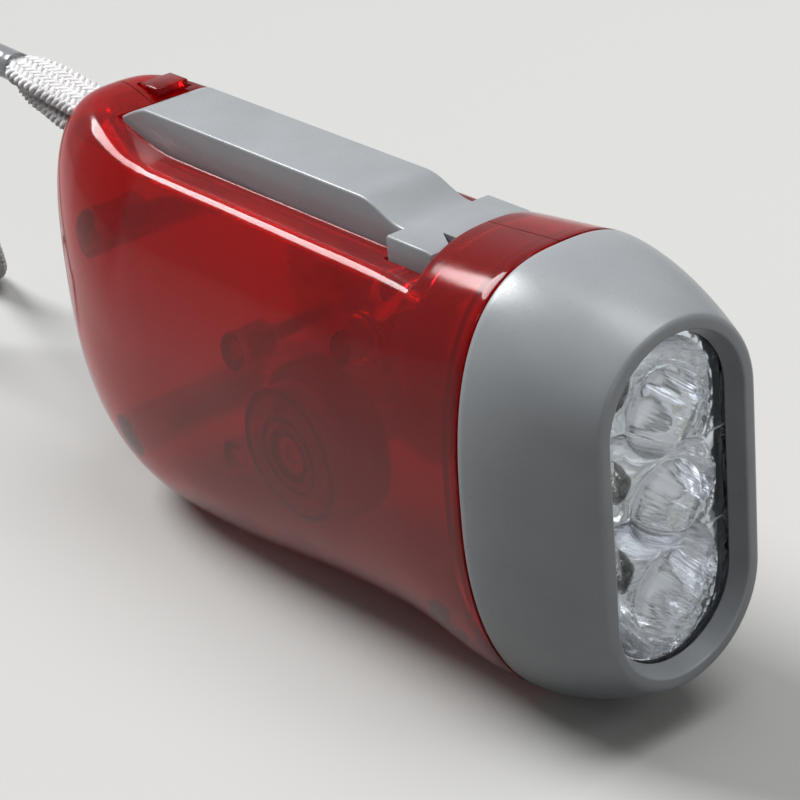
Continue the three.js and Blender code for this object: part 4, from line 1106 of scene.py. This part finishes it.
# Lever: grip block, hinge bar with its notch, rib and toothed sector
def lever():
    bar_radius = BAR_LENGTH / 2
    bar_top = LEVER_TOP - BAR_DROP
    bottom = LEVER_TOP - LEVER_DEPTH
    outline = []
    for share in evenly(1, 0, LEVER_STEPS):
        drop = LEVER_REAR_DROP * share ** LEVER_REAR_POWER
        outline.append((LEVER_REAR_X + LEVER_REAR_LENGTH * (1 - share), LEVER_TOP - drop))
    for step in range(LEVER_STEPS + 1):
        share = step / LEVER_STEPS
        drop = BAR_DROP * (1 - math.cos(share * math.pi)) / 2
        outline.append((BAR_REAR_X - STEP_LENGTH + share * STEP_LENGTH, LEVER_TOP - drop))
    outline += [(HINGE.x, bar_top), (HINGE.x, bottom), (LEVER_REAR_X, bottom)]
    grip = shape("lever", rounded_plate(outline, -LEVER_HALF_WIDTH, LEVER_HALF_WIDTH, LEVER_ROUND))
    bar_outline = [
        (BAR_FRONT_X, bar_top - BAR_CHAMFER), (BAR_FRONT_X - BAR_ROUND, bar_top - BAR_ROUND),
        (BAR_FRONT_X - BAR_CHAMFER, bar_top), (BAR_REAR_X + BAR_ROUND, bar_top),
        (BAR_REAR_X, bar_top - BAR_ROUND),
        *arc_points(HINGE.x, HINGE.z + HINGE_DROP, bar_radius, bar_radius, 180, 360, BAR_STEPS),
    ]
    bar = shape("bar", rounded_plate(bar_outline, -BAR_HALF_WIDTH, BAR_HALF_WIDTH, BAR_ROUND))
    joined(grip, bar, "UNION")
    notch = bmesh.new()
    notch_x = BAR_FRONT_X + NOTCH_OVERRUN
    corners = (NOTCH_TIP, (notch_x, NOTCH_TIP[1]), (notch_x, NOTCH_SIDE_Y))
    floor = [notch.verts.new(Vector((x, y, bar_top - NOTCH_DEPTH)) * MM) for x, y in corners]
    moved = moved_copies(bmesh.ops.extrude_face_region(notch, geom=[notch.faces.new(floor)]))
    bmesh.ops.translate(notch, verts=moved, vec=(0, 0, NOTCH_CUT * MM))
    joined(grip, shape("notch", closed_up(notch)), "DIFFERENCE")
    bore = bmesh.new()
    reach = BAR_HALF_WIDTH + BORE_OVERRUN
    bar_y(bore, HINGE.x, HINGE.z, PIN_HOLE[0], -reach, reach, HOLE_SIDES)
    joined(grip, shape("bore", bore), "DIFFERENCE")
    grip.name = "lever_grip"
    dress(grip, GREY, "lever", ("squeeze_lever",), sharp=30)

    step = TAU / SECTOR_TEETH
    first, last = (math.radians(angle) / step for angle in SECTOR_ANGLES)
    first = math.ceil(first)
    count = math.floor(last) - first + 1
    module = 2 * SECTOR_RADIUS / SECTOR_TEETH
    near_y, far_y = SECTOR_SPAN_Y
    teeth = bmesh.new()
    toothed_arc(
        teeth, HINGE, SECTOR_TEETH, module, first * step, count, near_y, far_y, SECTOR_INNER_RADIUS,
    )
    block(teeth, (RIB_REAR_X, near_y, bottom - RIB_DEPTH), (HINGE.x, far_y, bottom + GAP), RIB_ROUND, 2)
    piece("lever_sector", teeth, GREY, "lever", sharp=40)


lever()


# Lock slider: a rounded red button on its stem
def lock_slider():
    bm = bmesh.new()
    button_low = BUTTON_TOP - BUTTON_THICKNESS
    button_high = (slider_high.x, slider_high.y, BUTTON_TOP)
    block(bm, (slider_low.x, slider_low.y, button_low), button_high, BUTTON_ROUND, 3)
    stem_low = (slider_low.x + STEM_X[0], STEM_Y[0], slider_low.z)
    block(bm, stem_low, (slider_low.x + STEM_X[1], STEM_Y[1], button_low + STEM_OVERLAP), STEM_ROUND, 1)
    piece("lock_button", bm, RED, "slide", ("lock_slider",))


lock_slider()


# Rotor: flywheel with a thinner web, its pinion, and the shaft. The web is (radius, height over its side).
FLYWHEEL_WEB = [
    (1.3, 0.1), (1.4, 0), (3.2, 0), (3.3, 0.15), (3.4, 1.1), (8.3, 1.1), (8.5, 0.2), (8.6, 0),
]
FLYWHEEL_THICKNESS = 3.6
FLYWHEEL_BORE_RADIUS = 1.3
FLYWHEEL_CHAMFER = 0.3
PINION_TEETH = 10
PINION_MODULE = 0.65
PINION_OVERLAP = 0.2
PINION_END = -1
SHAFT_RADIUS = 1
SHAFT_CHAMFER = 0.2
SHAFT_SIDES = 48


def rotor():
    low = flywheel_low.y
    high = low + FLYWHEEL_THICKNESS
    radius = (flywheel_high.x - flywheel_low.x) / 2
    brim = radius - FLYWHEEL_CHAMFER
    outline = [
        *((across, low + height) for across, height in FLYWHEEL_WEB),
        (brim, low), (radius, low + FLYWHEEL_CHAMFER), (radius, high - FLYWHEEL_CHAMFER), (brim, high),
        (FLYWHEEL_BORE_RADIUS, high),
    ]
    piece("flywheel_disc", turned(outline, ROTOR), ZINC, "rotor", ("flywheel",), sharp=30)
    teeth = bmesh.new()
    toothed_arc(
        teeth, ROTOR, PINION_TEETH, PINION_MODULE, 0, PINION_TEETH, high - PINION_OVERLAP, PINION_END,
        FLYWHEEL_BORE_RADIUS,
    )
    piece("rotor_pinion", teeth, ACETAL, "rotor", sharp=40)
    end = (shaft_high.y - shaft_low.y) / 2
    tip = SHAFT_RADIUS - SHAFT_CHAMFER
    shaft = [
        (0, -end), (tip, -end), (SHAFT_RADIUS, -end + SHAFT_CHAMFER), (SHAFT_RADIUS, end - SHAFT_CHAMFER),
        (tip, end), (0, end),
    ]
    rod = turned(shaft, ROTOR, steps=SHAFT_SIDES, closed=False)
    piece("rotor_rod", rod, STEEL, "rotor", ("rotor_shaft",), sharp=40)


rotor()


# Lever spring: a straight leg up to four coils round the post
SPRING_RADIUS = 2.85
SPRING_WIRE_RADIUS = 0.35
SPRING_PITCH = 1.15
SPRING_START_Y = -7.3
SPRING_COILS = 4
SPRING_LEG = 7
COIL_STEPS = 36


def lever_spring():
    leg_x = SPRING_POST.x + SPRING_RADIUS
    points = [(leg_x, SPRING_START_Y, SPRING_POST.z - SPRING_LEG + step) for step in range(SPRING_LEG)]
    for step in range(SPRING_COILS * COIL_STEPS + 1):
        angle = step / COIL_STEPS * TAU
        points.append((
            SPRING_POST.x + SPRING_RADIUS * math.cos(angle),
            SPRING_START_Y - SPRING_PITCH * step / COIL_STEPS,
            SPRING_POST.z + SPRING_RADIUS * math.sin(angle),
        ))
    made = wire_mesh("torsion_spring", [points], SPRING_WIRE_RADIUS, 3)
    dress(made, STEEL, "frame", ("lever_spring",), sharp=60)


lever_spring()


# Wrist strap: its two flat legs leave the hole one over the other, pass the sleeve and end in one loop.
# The route is (way out from the torch, height, half gap sideways, half gap upwards).
STRAP_ROUTE = [
    (-2.7, 48.5, 0, 1.4), (1, 48.6, 0, 1.4), (7, 49.3, 0, 1.4), (15, 50.5, -0.5, 1.3),
    (22, 51.4, -0.95, 1.02), (29, 51.6, -1.05, 0.9), (36, 50.8, -1.05, 0.9), (43, 48, -1.5, 0.5),
    (49.5, 42, -2.4, 0), (54, 33, -4, 0), (57, 22, -6.4, 0), (59, 11, -9, 0), (62.5, 3.8, -11.4, 0),
    (69, 1.4, -13, 0), (78, 1.4, -12, 0), (86, 1.4, -7, 0),
]
STRAP_LOOP_END = (89, 1.4)

# The braid: half width and half thickness by the way out, the length of a lay and the yarns each way
BRAID_SIZES = [
    (0, 3.7, 1.05), (8, 4.0, 1.1), (15.5, 3.95, 1.2), (19.5, 3.4, 1.25), (22.2, 1.8, 1.2), (24, 1.4, 1.2),
    (38, 1.4, 1.2), (50, 2.0, 1.1), (95, 2.2, 1.05),
]
BRAID_LAY = 15
YARNS_EACH_WAY = 12
YARN_RADIUS = 0.46
YARN_SPACING = 0.44
YARN_WAVE = 0.36 * YARN_RADIUS
YARN_CLEARANCE = 0.05
YARN_PHASE = 0.25
CORE_SIDES = 20

# The sleeve over both legs: wall, its gap to them, and how much nearer to the torch it starts than its solid
SLEEVE_WALL = 0.5
SLEEVE_GAP = 0.05
SLEEVE_LEG_RADIUS = 1.2
SLEEVE_TWIST = math.radians(-40)
SLEEVE_FORWARD = 1.4
SLEEVE_RIPPLES = ((0.06, 4.3, 0), (0.04, 2.1, 1))
SLEEVE_STEPS = 30
SLEEVE_SIDES = 64

KNOT_CORD_RADIUS = 0.95
KNOT_INSET = 1
KNOT_STEPS = 96


def smooth_route(points, spacing):
    padded = [points[0] * 2 - points[1], *points, points[-1] * 2 - points[-2]]
    dense = []
    for before, start, end, after in zip(padded, padded[1:], padded[2:], padded[3:]):
        knots = [0.0]
        for one, other in ((before, start), (start, end), (end, after)):
            knots.append(knots[-1] + max(1e-6, (other - one).length) ** 0.5)
        t0, t1, t2, t3 = knots
        steps = max(2, round((end - start).length / spacing))
        for step in range(steps):
            t = t1 + (t2 - t1) * step / steps
            a1 = before * ((t1 - t) / (t1 - t0)) + start * ((t - t0) / (t1 - t0))
            a2 = start * ((t2 - t) / (t2 - t1)) + end * ((t - t1) / (t2 - t1))
            a3 = end * ((t3 - t) / (t3 - t2)) + after * ((t - t2) / (t3 - t2))
            b1 = a1 * ((t2 - t) / (t2 - t0)) + a2 * ((t - t0) / (t2 - t0))
            b2 = a2 * ((t3 - t) / (t3 - t1)) + a3 * ((t - t1) / (t3 - t1))
            dense.append(b1 * ((t2 - t) / (t2 - t1)) + b2 * ((t - t1) / (t2 - t1)))
    dense.append(points[-1])
    return dense


def strap_points():
    upper = [Vector((REAR_X - out, y, z + up)) for out, z, y, up in STRAP_ROUTE]
    lower = [Vector((REAR_X - out, -y, z - up)) for out, z, y, up in STRAP_ROUTE]
    turn = Vector((REAR_X - STRAP_LOOP_END[0], 0, STRAP_LOOP_END[1]))
    return [*upper, turn, *reversed(lower)]


def braid_size(out):
    for (start, width, thick), (end, next_width, next_thick) in zip(BRAID_SIZES, BRAID_SIZES[1:]):
        if out <= end:
            share = clamp_share((out - start) / (end - start))
            share = share * share * (3 - 2 * share)
            return width + (next_width - width) * share, thick + (next_thick - thick) * share
    return BRAID_SIZES[-1][1:]


# A point of a flat loop with round ends at a share of its way round, and the direction out of it
def flat_loop(share, half_width, half_thick):
    straight = 2 * (half_width - half_thick)
    bend = math.pi * half_thick
    way = (share % 1) * 2 * (straight + bend)
    side = 1
    if way >= straight + bend:
        way -= straight + bend
        side = -1
    if way < straight:
        return side * (straight / 2 - way), side * half_thick, 0, side
    angle = math.pi / 2 + (way - straight) / half_thick
    across = math.cos(angle)
    up = math.sin(angle)
    return side * (-straight / 2 + half_thick * across), side * half_thick * up, side * across, side * up


def carried_frames(route):
    side = Vector((0, 1, 0))
    frames = []
    for index, place in enumerate(route):
        ahead = (route[min(index + 1, len(route) - 1)] - route[max(index - 1, 0)]).normalized()
        side = (side - ahead * side.dot(ahead)).normalized()
        frames.append((place, side, ahead.cross(side)))
    return frames


# A yarn of the braid, which is a 2/2 twill: it goes round one way and waves over and under the others
def yarn_line(frames, direction, number):
    line = []
    for index, (place, side, up) in enumerate(frames):
        way = index * YARN_SPACING
        width, thick = braid_size(REAR_X - place.x)
        beat = math.pi * (direction * way * YARNS_EACH_WAY / BRAID_LAY + number - YARN_PHASE)
        wave = YARN_WAVE * direction * math.cos(beat)
        share = direction * way / BRAID_LAY + number / YARNS_EACH_WAY
        across, above, out_across, out_up = flat_loop(share, width - YARN_RADIUS, thick - YARN_RADIUS)
        strand = place + side * (across + out_across * wave) + up * (above + out_up * wave)
        strand.z = max(strand.z, YARN_RADIUS + YARN_CLEARANCE)
        line.append(strand)
    return line


def wrist_cord():
    def core_place(turn, station):
        place, side, up = frames[station]
        width, thick = braid_size(REAR_X - place.x)
        across, above, _, _ = flat_loop(turn / TAU, width - YARN_RADIUS, thick - YARN_RADIUS)
        inside = place + side * across + up * above
        inside.z = max(inside.z, YARN_RADIUS)
        return inside

    route = smooth_route(strap_points(), YARN_SPACING)
    frames = carried_frames(route)
    lines = [
        yarn_line(frames, direction, number) for direction in (-1, 1) for number in range(YARNS_EACH_WAY)
    ]
    made = wire_mesh("wrist_cord", lines, YARN_RADIUS, 0)
    core = shape("core", wrapped_grid(CORE_SIDES, range(0, len(frames), 2), core_place))
    both = bmesh.new()
    both.from_mesh(made.data)
    both.from_mesh(core.data)
    both.to_mesh(made.data)
    both.free()
    bpy.data.objects.remove(core)
    dress(made, BRAID, "frame", ("strap_cord",), sharp=180)
    return made, route


# Sleeve: a smoky oval tube over both legs
def strap_sleeve():
    half_short = SLEEVE_LEG_RADIUS + SLEEVE_WALL
    half_long = math.hypot(*STRAP_ROUTE[5][2:]) + SLEEVE_LEG_RADIUS + SLEEVE_WALL
    front_x = sleeve_high.x + SLEEVE_FORWARD
    length = front_x - sleeve_low.x
    heights = [(REAR_X - out, z) for out, z, _, _ in STRAP_ROUTE]

    def height_at(x):
        for (x0, z0), (x1, z1) in zip(heights, heights[1:]):
            if x1 <= x <= x0:
                return z0 + (z1 - z0) * (x - x0) / (x1 - x0)
        return heights[0][1]

    def place(turn, station):
        x, grow = station
        along = math.cos(turn)
        ripple = sum(depth * math.sin(TAU * x / pitch + start) for depth, pitch, start in SLEEVE_RIPPLES)
        long = (half_long + grow + ripple) * math.copysign(abs(along) ** (2 / SKIN_POWER), along)
        short = (half_short + grow) * math.sin(turn)
        return (
            x, long * math.cos(SLEEVE_TWIST) - short * math.sin(SLEEVE_TWIST),
            height_at(x) + long * math.sin(SLEEVE_TWIST) + short * math.cos(SLEEVE_TWIST),
        )

    steps = SLEEVE_STEPS
    outer = [(front_x - length * step / steps, SLEEVE_WALL) for step in range(steps + 1)]
    inner = [(x, SLEEVE_GAP) for x, _ in reversed(outer)]
    made = wrapped_grid(SLEEVE_SIDES, [*outer, *inner, outer[0]], place)
    return piece("cord_sleeve", made, TUBE, "frame", ("strap_sleeve",), sharp=50)


# Knot of the two ends behind the rear wall: a trefoil
def strap_knot():
    middle = (knot_low + knot_high) / 2
    half = (knot_high - knot_low) / 2
    reach = [size - KNOT_INSET for size in half]
    points = []
    for step in range(KNOT_STEPS + 1):
        angle = step / KNOT_STEPS * TAU
        across = (math.sin(angle) + 2 * math.sin(2 * angle)) / 3
        up = (math.cos(angle) - 2 * math.cos(2 * angle)) / 3
        along = -math.sin(3 * angle)
        points.append(middle + Vector((along * reach[0], across * reach[1], up * reach[2])))
    made = wire_mesh("cord_knot", [points], KNOT_CORD_RADIUS, 3)
    return dress(made, BRAID, "frame", ("strap_knot",), sharp=60)


cord, cord_route = wrist_cord()
sleeve = strap_sleeve()
knot = strap_knot()

# CAD pieces that keep their shape
FINISHES = {
    "led_board": LAMINATE, "bridge_rectifier": BLACK_EPOXY, "first_gear": ACETAL, "second_gear": ACETAL,
    "coil_bobbin": ACETAL, "coil_winding": COPPER, "rotor_magnet": FERRITE, "rotor_bush_right": BRONZE,
    "rotor_bush_left": BRONZE, "lead_wire_red": RED_SLEEVING, "lead_wire_black": BLACK_SLEEVING,
    "board_screw_upper": STEEL, "board_screw_lower": STEEL, "lever_pin": STEEL, "first_axle": STEEL,
    "second_axle": STEEL, "stator_cup_inner": STEEL, "stator_cup_outer": STEEL, "shell_screw_front": STEEL,
    "shell_screw_lower": STEEL, "shell_screw_upper": STEEL,
}
for node_name, material in FINISHES.items():
    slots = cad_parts[node_name].data.materials
    slots.clear()
    slots.append(material)


# One shader for the rays that light the object, and one that is seen: by the camera, in a gloss and through
# something clear
def seen_or_light(tree, light, seen, output):
    ray = add_node(tree, "ShaderNodeLightPath", {}, {})
    shown = ray.outputs["Is Camera Ray"]
    for other in ("Is Glossy Ray", "Is Transmission Ray"):
        links = {0: shown, 1: ray.outputs[other]}
        shown = add_node(tree, "ShaderNodeMath", {"operation": "MAXIMUM"}, links).outputs[0]
    mixed = add_node(tree, "ShaderNodeMixShader", {}, {0: shown, 1: light.outputs[0], 2: seen.outputs[0]})
    tree.links.new(mixed.outputs[0], tree.nodes[output].inputs["Surface"])


# Lamps by kind, place, power and size: a broad sun high behind the torch, a square lamp over it and two
# small fills before it. The sun's size is its angle, the others' is in metres.
LAMPS = {
    "key_lamp": ("SUN", (-0.88, -0.2, 0.95), 3.5, math.radians(28)),
    "top_lamp": ("AREA", (0.2, 0.3, 1.3), 9, 0.8),
    "near_fill": ("AREA", (1.2, -0.45, 0.5), 1, 0.3),
    "far_fill": ("AREA", (1, 0.5, 0.8), 1, 0.3),
}
LAMP_AIM = Vector((0, 0, 0.03))
FLOOR_SIZE = 6
WORLD_LIGHT = 0.14
WORLD_SEEN = 0.5


# Studio: a pale paper floor under the lamps and a plain backdrop
def studio():
    bm = bmesh.new()
    bmesh.ops.create_grid(bm, x_segments=1, y_segments=1, size=FLOOR_SIZE)
    floor = shape("studio_floor", bm)
    paper = finish("studio_paper", 0xBEBEBC, Roughness=0.9)
    tree = paper.node_tree
    dim = add_node(tree, "ShaderNodeBsdfDiffuse", {"Color": linear(0x626261)}, {})
    seen_or_light(tree, dim, tree.nodes["Principled BSDF"], "Material Output")
    floor.data.materials.append(paper)
    for name, (kind, place, power, size) in LAMPS.items():
        data = bpy.data.lights.new(name, kind)
        data.energy = power
        if kind == "SUN":
            data.angle = size
        else:
            data.shape = "SQUARE"
            data.size = size
        lamp_object = placed(name, data)
        lamp_object.location = place
        lamp_object.rotation_euler = (Vector(place) - LAMP_AIM).to_track_quat("Z", "Y").to_euler()
    world = bpy.data.worlds.new("studio_air")
    bpy.context.scene.world = world
    world.use_nodes = True
    tree = world.node_tree
    white = linear(0xFFFFFF)
    light = tree.nodes["Background"]
    light.inputs["Color"].default_value = white
    light.inputs["Strength"].default_value = WORLD_LIGHT
    backdrop = add_node(tree, "ShaderNodeBackground", {"Color": white, "Strength": WORLD_SEEN}, {})
    seen_or_light(tree, light, backdrop, "World Output")
    bpy.context.scene.view_settings.view_transform = "Standard"


studio()
